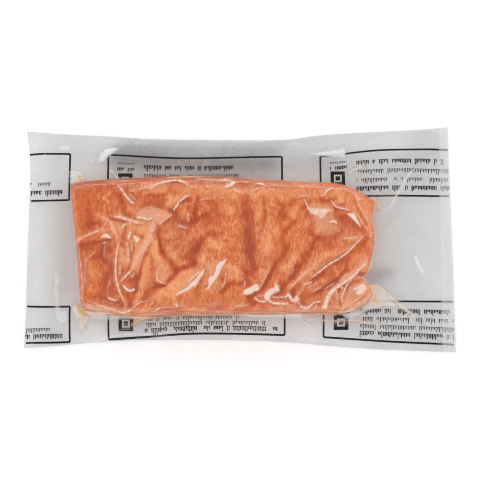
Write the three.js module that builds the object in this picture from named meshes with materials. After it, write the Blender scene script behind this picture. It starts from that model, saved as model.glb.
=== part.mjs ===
// A skinless portion of Atlantic salmon fillet, vacuum packed in a clear printed pouch
// that lies flat on a table. Millimetres, +Z up. The origin is the middle of the pack's
// box in plan, on the flat underside that it rests on, with the pack's length along X.

import * as THREE from 'three';
import { mergeVertices } from 'three/addons/utils/BufferGeometryUtils.js';

// The pouch: its outline in plan is four edges between four corners, each a smooth curve
const POUCH_LENGTH = 211;
const POUCH_WIDTH = 112;
const RIGHT = POUCH_LENGTH / 2;
const BACK = POUCH_WIDTH / 2;
const POUCH_CORNERS = {
  frontLeft: [-RIGHT + 0.5, -BACK + 1.7],
  frontRight: [RIGHT, -BACK],
  backRight: [RIGHT - 2.2, BACK],
  backLeft: [-RIGHT, BACK - 2.1],
};
const POUCH_FRONT = [[-63, -50.6], [-34, -49.9], [0, -50.1], [25, -51.2], [44, -52.8], [68, -54.5]];
const POUCH_RIGHT = [[RIGHT - 0.9, 0]];
const POUCH_BACK = [[-64.5, 51.9], [-44.5, 50.6], [-20, 50.2], [20, 50.1], [45, 52.9]];
const POUCH_LEFT = [[-RIGHT + 1.0, -20], [-RIGHT + 1.6, 20], [-RIGHT + 1.6, 39]];
const FILM = 0.5;
const SKIRT_EDGE_LIFT = 0.5;
const SKIRT_JOIN_LIFT = 5.4;
const SKIRT_DROOP = 1.8;
const CORNER_CURL = 2.6;
const CORNER_CURL_REACH = 20;

// The fish: about 150 by 70 by 21, thick along its front edge and thinner at the back
const FISH_CORNERS = {
  frontLeft: [-76, -36.2],
  frontRight: [60.5, -34.2],
  backRight: [66.4, 17.6],
  backLeft: [-83.2, 25.9],
};
const FISH_FRONT = [[-63, -38.5], [-48.5, -39.7], [-29, -38.9], [0, -38.5], [29.5, -38], [49, -38]];
const FISH_RIGHT = [[64.6, -28.6], [61.8, -22.6], [59.6, -19.4], [62.6, -16.6], [66.2, -1.1], [65, 8]];
const FISH_BACK = [[-77.8, 27.5], [-59, 29], [-19.6, 30.5], [30, 27.5], [47, 26.7], [57, 23.4]];
const FISH_LEFT = [[-77.6, -30.8], [-79.7, -6], [-82.5, 19]];
const FISH_LENGTH = 148;
const FISH_WIDTH = 65;
const FISH_BOTTOM = 0.8;
const PARTING_HEIGHT = 6.6;
const THICKNESS = { frontLeft: 21, frontRight: 20.5, backRight: 15.5, backLeft: 17 };
const WALL_INSET = { front: 3.4, right: 6, back: 8.5, left: 3 };
const WALL_ROUNDNESS = 2.3;

// Rows of the lower half of the fish: how far each lies inside the outline, and its height
const FISH_LOWER_ROWS = [
  { inset: 0.5, height: 4.8 },
  { inset: 1.7, height: 2.9 },
  { inset: 3.6, height: 1.5 },
  { inset: 6.5, height: FISH_BOTTOM },
];

// Rings of the pouch below the parting line, from its flat underside outwards
const POUCH_TRAY_RINGS = [
  { inset: 6.5, height: 0 },
  { inset: 3.6, height: 0.45 },
  { inset: 1.5, height: 1.7 },
  { inset: -0.3, height: 3.6 },
];
const POUCH_JOIN_OUTSET = 0.9;
const SKIRT_RINGS = 8;

// Relief of the fish's top under the tight film: each stroke is a run of points, with
// its half width and its height, which is below 0 for a furrow
const SOFT_FORMS = [
  { path: [[3.5, 21], [3.5, 9], [4.5, -4], [5.5, -16]], reach: 5.5, height: -2.6 },
  { path: [[-47, -29.5], [-37, -25], [-30, -18], [-24, -12], [-16, -2]], reach: 5, height: -2.2 },
  { path: [[-34, -13], [-33, -5], [-32, 2]], reach: 9, height: -2.2 },
  { path: [[21, 18], [22, 9], [25, 3]], reach: 4, height: -1.1 },
  { path: [[18, -13], [15, -20], [12, -26]], reach: 4, height: -1.4 },
  { path: [[34, 0], [32, -10], [25, -20], [20, -28]], reach: 4, height: -1.5 },
  { path: [[-42, -31], [-28, -22], [-12, -6]], reach: 7, height: 1.6 },
  { path: [[-20, -30], [-12, -20], [-5, -12]], reach: 6, height: 1.2 },
  { path: [[-70, 18], [-72, -20]], reach: 8, height: -1.0 },
  { path: [[12, 18], [12, -8]], reach: 6, height: 1.0 },
];
const SHARP_FORMS = [
  { path: [[-80, -4.5], [-74, 0], [-69, 2], [-65.5, 8.5]], reach: 3, height: 1 },
  { path: [[-65.5, 8.5], [-60, -2], [-60, -20], [-54.5, -36]], reach: 3, height: 1.2 },
  { path: [[-41.5, 8.5], [-44, 0.5], [-49, -10], [-57, -24]], reach: 3, height: 1.4 },
  { path: [[-43, 0], [-40, -4], [-37, -10], [-30.5, -18]], reach: 3, height: 1 },
  { path: [[-61.5, 8], [-50, 6], [-43.5, 5]], reach: 2.6, height: 0.9 },
  { path: [[-50.5, 9.5], [-44.5, 12.7], [-32.5, 9.8]], reach: 3, height: 1.1 },
  { path: [[-63, 31], [-60.5, 24.5], [-52, 15.5]], reach: 2.6, height: 0.9 },
  { path: [[-47.5, 24.5], [-35.5, 27.3], [-21.5, 23.3]], reach: 3.2, height: 1 },
  { path: [[-32.5, 11.3], [-28.5, 16.3], [-24.5, 18.8]], reach: 2.4, height: 0.9 },
  { path: [[60.5, -1.2], [50.5, -9.2], [35.5, -19.7], [30.5, -23.7]], reach: 3, height: 1.2 },
  { path: [[40.5, -32.5], [46.5, -25.7], [62.5, -12.7]], reach: 3.4, height: 1.2 },
  { path: [[44.5, 17.3], [50.5, 11.3], [58.5, 4.3]], reach: 2.8, height: 0.9 },
  { path: [[56.5, 18.3], [60.5, 9.3], [64.5, -0.7]], reach: 2.8, height: 0.9 },
  { path: [[31.5, 17.3], [33.5, 12], [39, 10], [45.5, 11.5]], reach: 3.2, height: 1.1 },
  { path: [[9.5, -26.7], [11.5, -22.2], [14.5, -14.7]], reach: 2.8, height: 0.9 },
  { path: [[-31, -30], [-24, -26], [-18, -18.5]], reach: 2.6, height: 0.8 },
  { path: [[-16, -27], [-10, -16], [-7, -13.5]], reach: 2.6, height: 0.8 },
];

// Samples along the fish: a few close rows in each wall, then even ones between
const WALL_STEPS = [0, 0.7, 1.8, 3.4, 5.6];
const FISH_STEPS_LONG = 60;
const FISH_STEPS_ACROSS = 25;
const POUCH_SAMPLES_LONG = 34;
const POUCH_SAMPLES_ACROSS = 16;

// A smooth curve in plan through named corners and the points between them
function edge(from, between, to) {
  const points = [from, ...between, to].map(([x, y]) => new THREE.Vector2(x, y));
  return new THREE.SplineCurve(points);
}

// Four edges that share their corners make a patch: at(u, v) blends them, with u from
// left to right and v from front to back, both 0 to 1
class Patch {
  constructor(corners, front, right, back, left) {
    this.corners = corners;
    this.front = edge(corners.frontLeft, front, corners.frontRight);
    this.right = edge(corners.frontRight, right, corners.backRight);
    this.back = edge(corners.backLeft, back, corners.backRight);
    this.left = edge(corners.frontLeft, left, corners.backLeft);
  }

  at(u, v) {
    const front = this.front.getPointAt(u);
    const back = this.back.getPointAt(u);
    const left = this.left.getPointAt(v);
    const right = this.right.getPointAt(v);
    const { frontLeft, frontRight, backRight, backLeft } = this.corners;
    const blend = (axis, index) => {
      const acrossWidth = (1 - v) * front[axis] + v * back[axis];
      const alongLength = (1 - u) * left[axis] + u * right[axis];
      const nearCorners = (1 - u) * frontLeft[index] + u * frontRight[index];
      const farCorners = (1 - u) * backLeft[index] + u * backRight[index];
      return acrossWidth + alongLength - (1 - v) * nearCorners - v * farCorners;
    };
    return new THREE.Vector2(blend('x', 0), blend('y', 1));
  }
}

const fishPlan = new Patch(FISH_CORNERS, FISH_FRONT, FISH_RIGHT, FISH_BACK, FISH_LEFT);
const pouchPlan = new Patch(POUCH_CORNERS, POUCH_FRONT, POUCH_RIGHT, POUCH_BACK, POUCH_LEFT);

// The patch's border as [u, v] pairs, once round counterclockwise seen from above
function border(across, along) {
  const front = across.slice(0, -1).map((u) => [u, 0]);
  const right = along.slice(0, -1).map((v) => [1, v]);
  const back = across.slice(1).reverse().map((u) => [u, 1]);
  const left = along.slice(1).reverse().map((v) => [0, v]);
  return [...front, ...right, ...back, ...left];
}

// A border pair moved inside the outline by a distance on every side
function inside([u, v], inset) {
  const insetLong = inset / FISH_LENGTH;
  const insetAcross = inset / FISH_WIDTH;
  return [insetLong + u * (1 - 2 * insetLong), insetAcross + v * (1 - 2 * insetAcross)];
}

function evenSteps(count) {
  return Array.from({ length: count + 1 }, (_, index) => index / count);
}

// Rows close together in both walls and even ones between them, as fractions of a length
function walledSteps(count, length) {
  const walls = WALL_STEPS.map((step) => step / length);
  const last = walls.at(-1);
  const middle = evenSteps(count).slice(1, -1).map((step) => last + step * (1 - 2 * last));
  return [...walls, ...middle, ...walls.map((step) => 1 - step).reverse()];
}

// Strokes become short straight runs, so that the distance to one is simple to work out
function strokeRuns(form) {
  const curve = edge(form.path[0], form.path.slice(1, -1), form.path.at(-1));
  return { ...form, points: curve.getPoints((form.path.length - 1) * 5) };
}

function distanceToRun(x, y, points) {
  let nearest = Infinity;
  for (let index = 1; index < points.length; index += 1) {
    const start = points[index - 1];
    const dx = points[index].x - start.x;
    const dy = points[index].y - start.y;
    const along = ((x - start.x) * dx + (y - start.y) * dy) / (dx * dx + dy * dy);
    const part = THREE.MathUtils.clamp(along, 0, 1);
    nearest = Math.min(nearest, Math.hypot(x - start.x - part * dx, y - start.y - part * dy));
  }
  return nearest;
}

const softForms = SOFT_FORMS.map(strokeRuns);
const sharpForms = SHARP_FORMS.map(strokeRuns);

function relief(x, y) {
  let height = 0;
  for (const form of softForms) {
    height += form.height * Math.exp(-((distanceToRun(x, y, form.points) / form.reach) ** 2));
  }
  for (const form of sharpForms) {
    const closeness = Math.max(0, 1 - distanceToRun(x, y, form.points) / form.reach);
    height += form.height * closeness ** 1.4;
  }
  return height;
}

// How far the fish's wall has risen at a distance inside one edge, from 0 to 1
function wallRise(distance, inset) {
  const short = 1 - Math.min(distance / inset, 1);
  return (1 - short ** WALL_ROUNDNESS) ** (1 / WALL_ROUNDNESS);
}

function fishTop(u, v) {
  const { x, y } = fishPlan.at(u, v);
  const rise = wallRise(v * FISH_WIDTH, WALL_INSET.front)
    * wallRise((1 - v) * FISH_WIDTH, WALL_INSET.back)
    * wallRise(u * FISH_LENGTH, WALL_INSET.left)
    * wallRise((1 - u) * FISH_LENGTH, WALL_INSET.right);
  const { lerp } = THREE.MathUtils;
  const frontThickness = lerp(THICKNESS.frontLeft, THICKNESS.frontRight, u);
  const backThickness = lerp(THICKNESS.backLeft, THICKNESS.backRight, u);
  const thickness = lerp(frontThickness, backThickness, v);
  const height = PARTING_HEIGHT + rise * (thickness - PARTING_HEIGHT + relief(x, y));
  return new THREE.Vector3(x, y, height);
}

// Collects points and triangles, and makes one closed geometry of them
class Shell {
  constructor() {
    this.points = [];
    this.triangles = [];
  }

  add(point) {
    return this.points.push(point) - 1;
  }

  quad(a, b, c, d) {
    this.triangles.push([a, b, c], [a, c, d]);
  }

  // Joins a ring to the next one outwards or down, of like count, with the faces looking
  // up or out; facing down, the band has the same triangles turned over
  band(first, second, facesDown = false) {
    first.forEach((start, index) => {
      const next = (index + 1) % first.length;
      if (facesDown) {
        this.triangles.push([start, second[next], second[index]], [start, first[next], second[next]]);
      } else {
        this.quad(start, second[index], second[next], first[next]);
      }
    });
  }

  cap(ring, facesUp) {
    const contour = ring.map((index) => new THREE.Vector2(this.points[index].x, this.points[index].y));
    for (const [a, b, c] of THREE.ShapeUtils.triangulateShape(contour, [])) {
      this.triangles.push(facesUp ? [ring[a], ring[b], ring[c]] : [ring[a], ring[c], ring[b]]);
    }
  }

  geometry() {
    const loose = new THREE.BufferGeometry().setFromPoints(this.points);
    loose.setIndex(this.triangles.flat());
    const merged = mergeVertices(loose);
    merged.computeVertexNormals();
    return merged;
  }
}

// The fish is a closed lump: the sculpted top down to the parting line, then a rounded
// lower wall in to the flat underside
function makeSalmonPortion() {
  const shell = new Shell();
  const across = walledSteps(FISH_STEPS_LONG, FISH_LENGTH);
  const along = walledSteps(FISH_STEPS_ACROSS, FISH_WIDTH);
  const grid = along.map((v) => across.map((u) => shell.add(fishTop(u, v))));
  for (let row = 1; row < along.length; row += 1) {
    for (let column = 1; column < across.length; column += 1) {
      shell.quad(grid[row - 1][column - 1], grid[row - 1][column], grid[row][column], grid[row][column - 1]);
    }
  }

  const loop = border(across, along);
  const indexOf = ([u, v]) => grid[along.indexOf(v)][across.indexOf(u)];
  let upper = loop.map(indexOf);
  for (const row of FISH_LOWER_ROWS) {
    const lower = loop.map((pair) => {
      const { x, y } = fishPlan.at(...inside(pair, row.inset));
      return shell.add(new THREE.Vector3(x, y, row.height));
    });
    shell.band(upper, lower);
    upper = lower;
  }
  shell.cap(upper, false);

  const flesh = new THREE.MeshStandardMaterial({ color: 0xd17d58, roughness: 0.35, metalness: 0 });
  const mesh = new THREE.Mesh(shell.geometry(), flesh);
  mesh.name = 'salmon_portion';
  return mesh;
}

// Slow waves of the loose skirt, which fade out at the fish and at the sealed edge
function skirtWave(x, y, part) {
  const swell = Math.sin(x / 9.5 + 0.8) * 0.45 + Math.sin(x / 21 - y / 13) * 0.4 + Math.sin(y / 8 + 1.3) * 0.25;
  return swell * Math.sin(Math.PI * part);
}

// Corners of the pack that stand off the table a little, as the film's own curl lifts them
function cornerCurl(x, y) {
  const curled = [POUCH_CORNERS.backLeft, POUCH_CORNERS.frontLeft, POUCH_CORNERS.backRight];
  const lifts = curled.map(([cornerX, cornerY]) => {
    const closeness = Math.max(0, 1 - Math.hypot(x - cornerX, y - cornerY) / CORNER_CURL_REACH);
    return CORNER_CURL * closeness ** 2;
  });
  return Math.max(...lifts);
}

// The skirt leaves the fish nearly level and droops more steeply towards its sealed edge
function skirtHeight(x, y, part) {
  const droop = (SKIRT_JOIN_LIFT - SKIRT_EDGE_LIFT) * part ** SKIRT_DROOP;
  return Math.max(0.1, SKIRT_JOIN_LIFT - droop + skirtWave(x, y, part) + cornerCurl(x, y));
}

// A loop of plan points moved outwards by a distance
function outset(loop, distance) {
  return loop.map((point, index) => {
    const before = loop[(index + loop.length - 1) % loop.length];
    const after = loop[(index + 1) % loop.length];
    const along = after.clone().sub(before).normalize();
    return new THREE.Vector2(point.x + along.y * distance, point.y - along.x * distance);
  });
}

// The pouch is one thin closed sheet: flat under the fish, up round it as a shallow tray,
// then out as the skirt to the sealed edges, with the same triangles on both faces
function makeVacuumPouch() {
  const shell = new Shell();
  const loop = border(evenSteps(POUCH_SAMPLES_LONG), evenSteps(POUCH_SAMPLES_ACROSS));
  const rings = POUCH_TRAY_RINGS.map((ring) => loop.map((pair) => {
    const { x, y } = fishPlan.at(...inside(pair, ring.inset > 0 ? ring.inset : 0));
    return new THREE.Vector3(x, y, ring.height);
  }));
  const outline = loop.map(([u, v]) => fishPlan.at(u, v));
  const trayRim = outset(outline, -POUCH_TRAY_RINGS.at(-1).inset);
  rings.at(-1).forEach((point, index) => point.setX(trayRim[index].x).setY(trayRim[index].y));

  const join = outset(outline, POUCH_JOIN_OUTSET);
  const pouchEdge = loop.map(([u, v]) => pouchPlan.at(u, v));
  for (let ring = 0; ring <= SKIRT_RINGS; ring += 1) {
    const part = ring / SKIRT_RINGS;
    rings.push(join.map((point, index) => {
      const { x, y } = point.clone().lerp(pouchEdge[index], part);
      return new THREE.Vector3(x, y, skirtHeight(x, y, part));
    }));
  }

  const under = rings.map((ring) => ring.map((point) => shell.add(point)));
  const over = rings.map((ring) => ring.map(({ x, y, z }) => shell.add(new THREE.Vector3(x, y, z + FILM))));
  for (let ring = 1; ring < rings.length; ring += 1) {
    shell.band(over[ring - 1], over[ring]);
    shell.band(under[ring - 1], under[ring], true);
  }
  shell.band(over.at(-1), under.at(-1));
  shell.cap(over[0], true);
  shell.cap(under[0], false);

  const film = new THREE.MeshStandardMaterial({ color: 0xc8c9ca, roughness: 0.2, metalness: 0 });
  const mesh = new THREE.Mesh(shell.geometry(), film);
  mesh.name = 'vacuum_pouch';
  return mesh;
}

const vacuumPack = new THREE.Group();
vacuumPack.add(makeVacuumPouch(), makeSalmonPortion());

export default vacuumPack;
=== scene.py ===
import math

import bpy
import numpy as np
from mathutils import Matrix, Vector
from mathutils.bvhtree import BVHTree


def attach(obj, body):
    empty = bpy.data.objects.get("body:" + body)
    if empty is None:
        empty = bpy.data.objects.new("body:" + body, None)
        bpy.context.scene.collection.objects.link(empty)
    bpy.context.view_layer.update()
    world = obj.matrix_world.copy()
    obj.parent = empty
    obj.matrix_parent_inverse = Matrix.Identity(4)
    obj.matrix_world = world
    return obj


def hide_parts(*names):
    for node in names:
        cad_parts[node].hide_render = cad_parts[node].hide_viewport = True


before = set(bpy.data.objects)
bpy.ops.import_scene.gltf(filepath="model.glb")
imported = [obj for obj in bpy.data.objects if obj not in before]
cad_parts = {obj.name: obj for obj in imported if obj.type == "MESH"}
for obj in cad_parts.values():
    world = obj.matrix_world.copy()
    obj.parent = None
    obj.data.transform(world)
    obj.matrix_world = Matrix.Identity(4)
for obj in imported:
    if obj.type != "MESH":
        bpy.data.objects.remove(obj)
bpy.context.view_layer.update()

MM = 0.001


# The salmon portion
# A skinless block of fillet, cut square, thick along its front edge and thinner at the
# back. It is one closed lump of raw flesh, pressed into soft furrows by the tight bag.

FISH_CORNERS = {
    "front_left": (-76, -36.2),
    "front_right": (60.5, -34.2),
    "back_right": (66.4, 17.6),
    "back_left": (-83.2, 25.9),
}
FISH_FRONT = [(-63, -38.5), (-48.5, -39.7), (-29, -38.9), (0, -38.5), (29.5, -38), (49, -38)]
FISH_RIGHT = [(64.6, -28.6), (61.8, -22.6), (59.6, -19.4), (62.6, -16.6), (66.2, -1.1), (65, 8)]
FISH_BACK = [(-77.8, 27.5), (-59, 29), (-19.6, 30.5), (30, 27.5), (47, 26.7), (57, 23.4)]
FISH_LEFT = [(-77.6, -30.8), (-79.7, -6), (-82.5, 19)]
FISH_LENGTH = 148
FISH_WIDTH = 65
PARTING_HEIGHT = 6.6
THICKNESS = {"front_left": 21, "front_right": 20.5, "back_right": 15.5, "back_left": 17}
WALL_INSET = {"front": 3.4, "right": 6, "back": 8.5, "left": 3}
WALL_ROUNDNESS = 2.3
FISH_LOWER_WALL = [(0, 6.6), (0.5, 4.8), (1.7, 2.9), (3.6, 1.5), (6.5, 0.8)]

# Furrows and swells that the bag presses into the flesh: a run of points, how far each
# reaches to either side and its height, below 0 for a furrow
SOFT_FORMS = [
    ([(3.5, 21), (3.5, 9), (4.5, -4), (5.5, -16)], 5.5, -2.6),
    ([(-47, -29.5), (-37, -25), (-30, -18), (-24, -12), (-16, -2)], 5, -2.2),
    ([(-34, -13), (-33, -5), (-32, 2)], 9, -2.2),
    ([(21, 18), (22, 9), (25, 3)], 4, -1.1),
    ([(18, -13), (15, -20), (12, -26)], 4, -1.4),
    ([(34, 0), (32, -10), (25, -20), (20, -28)], 4, -1.5),
    ([(-42, -31), (-28, -22), (-12, -6)], 7, 1.6),
    ([(-20, -30), (-12, -20), (-5, -12)], 6, 1.2),
    ([(-70, 18), (-72, -20)], 8, -1.0),
    ([(12, 18), (12, -8)], 6, 1.0),
]
FLESH_TO_FILM = 0.35
FLESH_FOLLOWS = 0.5

WALL_STEPS = [0, 0.35, 0.7, 1.2, 1.8, 2.4, 3, 3.6, 4.2, 4.9, 5.6]
FISH_STEPS_LONG = 310
FISH_STEPS_ACROSS = 132


class Curve:
    """A smooth curve in plan through given points, read by its share of the length."""

    def __init__(self, points):
        self.points = np.array(points, dtype=float)
        share = np.linspace(0, 1, 40 * (len(points) - 1) + 1)
        self.dense = self.through(share)
        steps = np.hypot(*np.diff(self.dense, axis=0).T)
        self.run = np.concatenate([[0], np.cumsum(steps)])
        self.run /= self.run[-1]

    def through(self, share):
        last = len(self.points) - 1
        place = np.clip(share, 0, 1) * last
        whole = np.minimum(place.astype(int), last - 1)
        part = (place - whole)[:, None]
        before, start, end, after = (
            self.points[np.clip(whole + step, 0, last)] for step in (-1, 0, 1, 2)
        )
        leave = (end - before) / 2
        reach = (after - start) / 2
        cubic = 2 * start - 2 * end + leave + reach
        square = 3 * end - 3 * start - 2 * leave - reach
        return ((cubic * part + square) * part + leave) * part + start

    def at(self, share):
        share = np.asarray(share, dtype=float)
        return np.stack([np.interp(share, self.run, axis) for axis in self.dense.T], axis=-1)


class Patch:
    """Four plan curves that share their corners, blended to fill the space between."""

    def __init__(self, corners, front, right, back, left):
        self.corners = {name: np.array(corner, dtype=float) for name, corner in corners.items()}
        self.front = Curve([corners["front_left"], *front, corners["front_right"]])
        self.right = Curve([corners["front_right"], *right, corners["back_right"]])
        self.back = Curve([corners["back_left"], *back, corners["back_right"]])
        self.left = Curve([corners["front_left"], *left, corners["back_left"]])

    def at(self, u, v):
        u, v = np.broadcast_arrays(np.asarray(u, dtype=float), np.asarray(v, dtype=float))
        right_part, back_part = u[..., None], v[..., None]
        across = (1 - back_part) * self.front.at(u) + back_part * self.back.at(u)
        along = (1 - right_part) * self.left.at(v) + right_part * self.right.at(v)
        near = (1 - right_part) * self.corners["front_left"] + right_part * self.corners["front_right"]
        far = (1 - right_part) * self.corners["back_left"] + right_part * self.corners["back_right"]
        return across + along - (1 - back_part) * near - back_part * far


fish_plan = Patch(FISH_CORNERS, FISH_FRONT, FISH_RIGHT, FISH_BACK, FISH_LEFT)

# The direction in plan that a fold's bright flank faces: the painted light on the folds comes from there, a
# painted highlight on that flank and a painted shade on the other
LIT_FROM = (-0.4, 0.92)


def near_stroke(x, y, path, reach):
    """For each point its gap to a stroke, where along it and whether on its lit side."""
    line = Curve(path).dense[::5]
    gap = np.full(x.shape, np.inf)
    share = np.zeros(x.shape)
    lit = np.zeros(x.shape)
    low, high = line.min(0) - reach, line.max(0) + reach
    near = (x > low[0]) & (x < high[0]) & (y > low[1]) & (y < high[1])
    px, py = x[near], y[near]
    best = np.full(px.shape, np.inf)
    where = np.zeros(px.shape)
    side = np.zeros(px.shape)
    for index, (start, end) in enumerate(zip(line[:-1], line[1:])):
        run = end - start
        from_x, from_y = px - start[0], py - start[1]
        part = np.clip((from_x * run[0] + from_y * run[1]) / (run @ run), 0, 1)
        away = np.hypot(from_x - part * run[0], from_y - part * run[1])
        facing = (run[0] * LIT_FROM[1] - run[1] * LIT_FROM[0]) / np.hypot(*run)
        closer = away < best
        best = np.where(closer, away, best)
        where = np.where(closer, (index + part) / (len(line) - 1), where)
        side = np.where(closer, np.sign(run[0] * from_y - run[1] * from_x) * facing, side)
    gap[near] = best
    share[near] = where
    lit[near] = side
    return gap, share, lit


def soft_strokes(x, y, strokes):
    """The sum of wide strokes that fade like a bell to both sides."""
    total = np.zeros(x.shape)
    for path, reach, amount in strokes:
        gap, _, _ = near_stroke(x, y, path, 3 * reach)
        total += amount * np.exp(-((gap / reach) ** 2))
    return total


def wall_rise(distance, inset):
    short = 1 - np.clip(distance / inset, 0, 1)
    return (1 - short ** WALL_ROUNDNESS) ** (1 / WALL_ROUNDNESS)


def fish_rise(u, v):
    """How far the top has risen from the parting line, 0 at the outline and 1 inside."""
    return (
        wall_rise(v * FISH_WIDTH, WALL_INSET["front"])
        * wall_rise((1 - v) * FISH_WIDTH, WALL_INSET["back"])
        * wall_rise(u * FISH_LENGTH, WALL_INSET["left"])
        * wall_rise((1 - u) * FISH_LENGTH, WALL_INSET["right"])
    )


def fish_thickness(u, v):
    front = (1 - u) * THICKNESS["front_left"] + u * THICKNESS["front_right"]
    back = (1 - u) * THICKNESS["back_left"] + u * THICKNESS["back_right"]
    return (1 - v) * front + v * back


def walled_steps(count, length):
    walls = np.array(WALL_STEPS) / length
    middle = np.linspace(walls[-1], 1 - walls[-1], count + 1)[1:-1]
    return np.concatenate([walls, middle, 1 - walls[::-1]])


def border(across, along):
    """The grid's border as u and v, once round counterclockwise seen from above."""
    front = [(u, 0) for u in across[:-1]]
    right = [(1, v) for v in along[:-1]]
    back = [(u, 1) for u in across[:0:-1]]
    left = [(0, v) for v in along[:0:-1]]
    return np.array(front + right + back + left).T


def inside(u, v, inset):
    """A border place moved inside the outline by a distance on every side."""
    inset_long, inset_across = inset / FISH_LENGTH, inset / FISH_WIDTH
    return inset_long + u * (1 - 2 * inset_long), inset_across + v * (1 - 2 * inset_across)


class Shell:
    """Collects rows of points, the numbers noted on them and the faces, for one closed mesh."""

    def __init__(self, *notes):
        self.points = []
        self.notes = {name: [] for name in notes}
        self.faces = []
        self.count = 0

    def add(self, plan, height, **notes):
        plan = np.asarray(plan)
        rows = np.concatenate([plan, np.broadcast_to(height, plan.shape[:-1])[..., None]], axis=-1)
        self.points.append(rows.reshape(-1, 3))
        for name, kept in self.notes.items():
            kept.append(np.broadcast_to(notes.get(name, 0), plan.shape[:-1]).ravel())
        indices = np.arange(self.count, self.count + rows[..., 0].size).reshape(rows.shape[:-1])
        self.count += rows[..., 0].size
        return indices

    def grid(self, rows):
        corners = (rows[:-1, :-1], rows[:-1, 1:], rows[1:, 1:], rows[1:, :-1])
        self.faces += np.stack(corners, axis=-1).reshape(-1, 4).tolist()

    def band(self, first, second):
        """Joins a ring to the next one outwards or down, with faces looking up or out."""
        corners = (first, second, np.roll(second, -1), np.roll(first, -1))
        self.faces += np.stack(corners, axis=-1).tolist()

    def halving_band(self, first, second):
        """Joins a ring to a ring outside it that has half as many points."""
        even, odd, onward = first[::2], first[1::2], np.roll(first[::2], -1)
        beyond = np.roll(second, -1)
        for corners in ((even, second, odd), (odd, second, beyond), (odd, beyond, onward)):
            self.faces += np.stack(corners, axis=-1).tolist()

    def piece(self, name):
        mesh = bpy.data.meshes.new(name)
        mesh.from_pydata((np.concatenate(self.points) * MM).tolist(), [], self.faces)
        mesh.polygons.foreach_set("use_smooth", [True] * len(mesh.polygons))
        for note, kept in self.notes.items():
            layer = mesh.attributes.new(note, "FLOAT", "POINT")
            layer.data.foreach_set("value", np.concatenate(kept).astype(np.float32))
        mesh.update()
        piece = bpy.data.objects.new(name, mesh)
        bpy.context.scene.collection.objects.link(piece)
        return piece


fish_across = walled_steps(FISH_STEPS_LONG, FISH_LENGTH)
fish_along = walled_steps(FISH_STEPS_ACROSS, FISH_WIDTH)
fish_u, fish_v = np.meshgrid(fish_across, fish_along)
fish_top = fish_plan.at(fish_u, fish_v)
top_x, top_y = fish_top[..., 0], fish_top[..., 1]
rise = fish_rise(fish_u, fish_v)
soft_form = soft_strokes(top_x, top_y, SOFT_FORMS)
top_room = fish_thickness(fish_u, fish_v) - PARTING_HEIGHT
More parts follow.
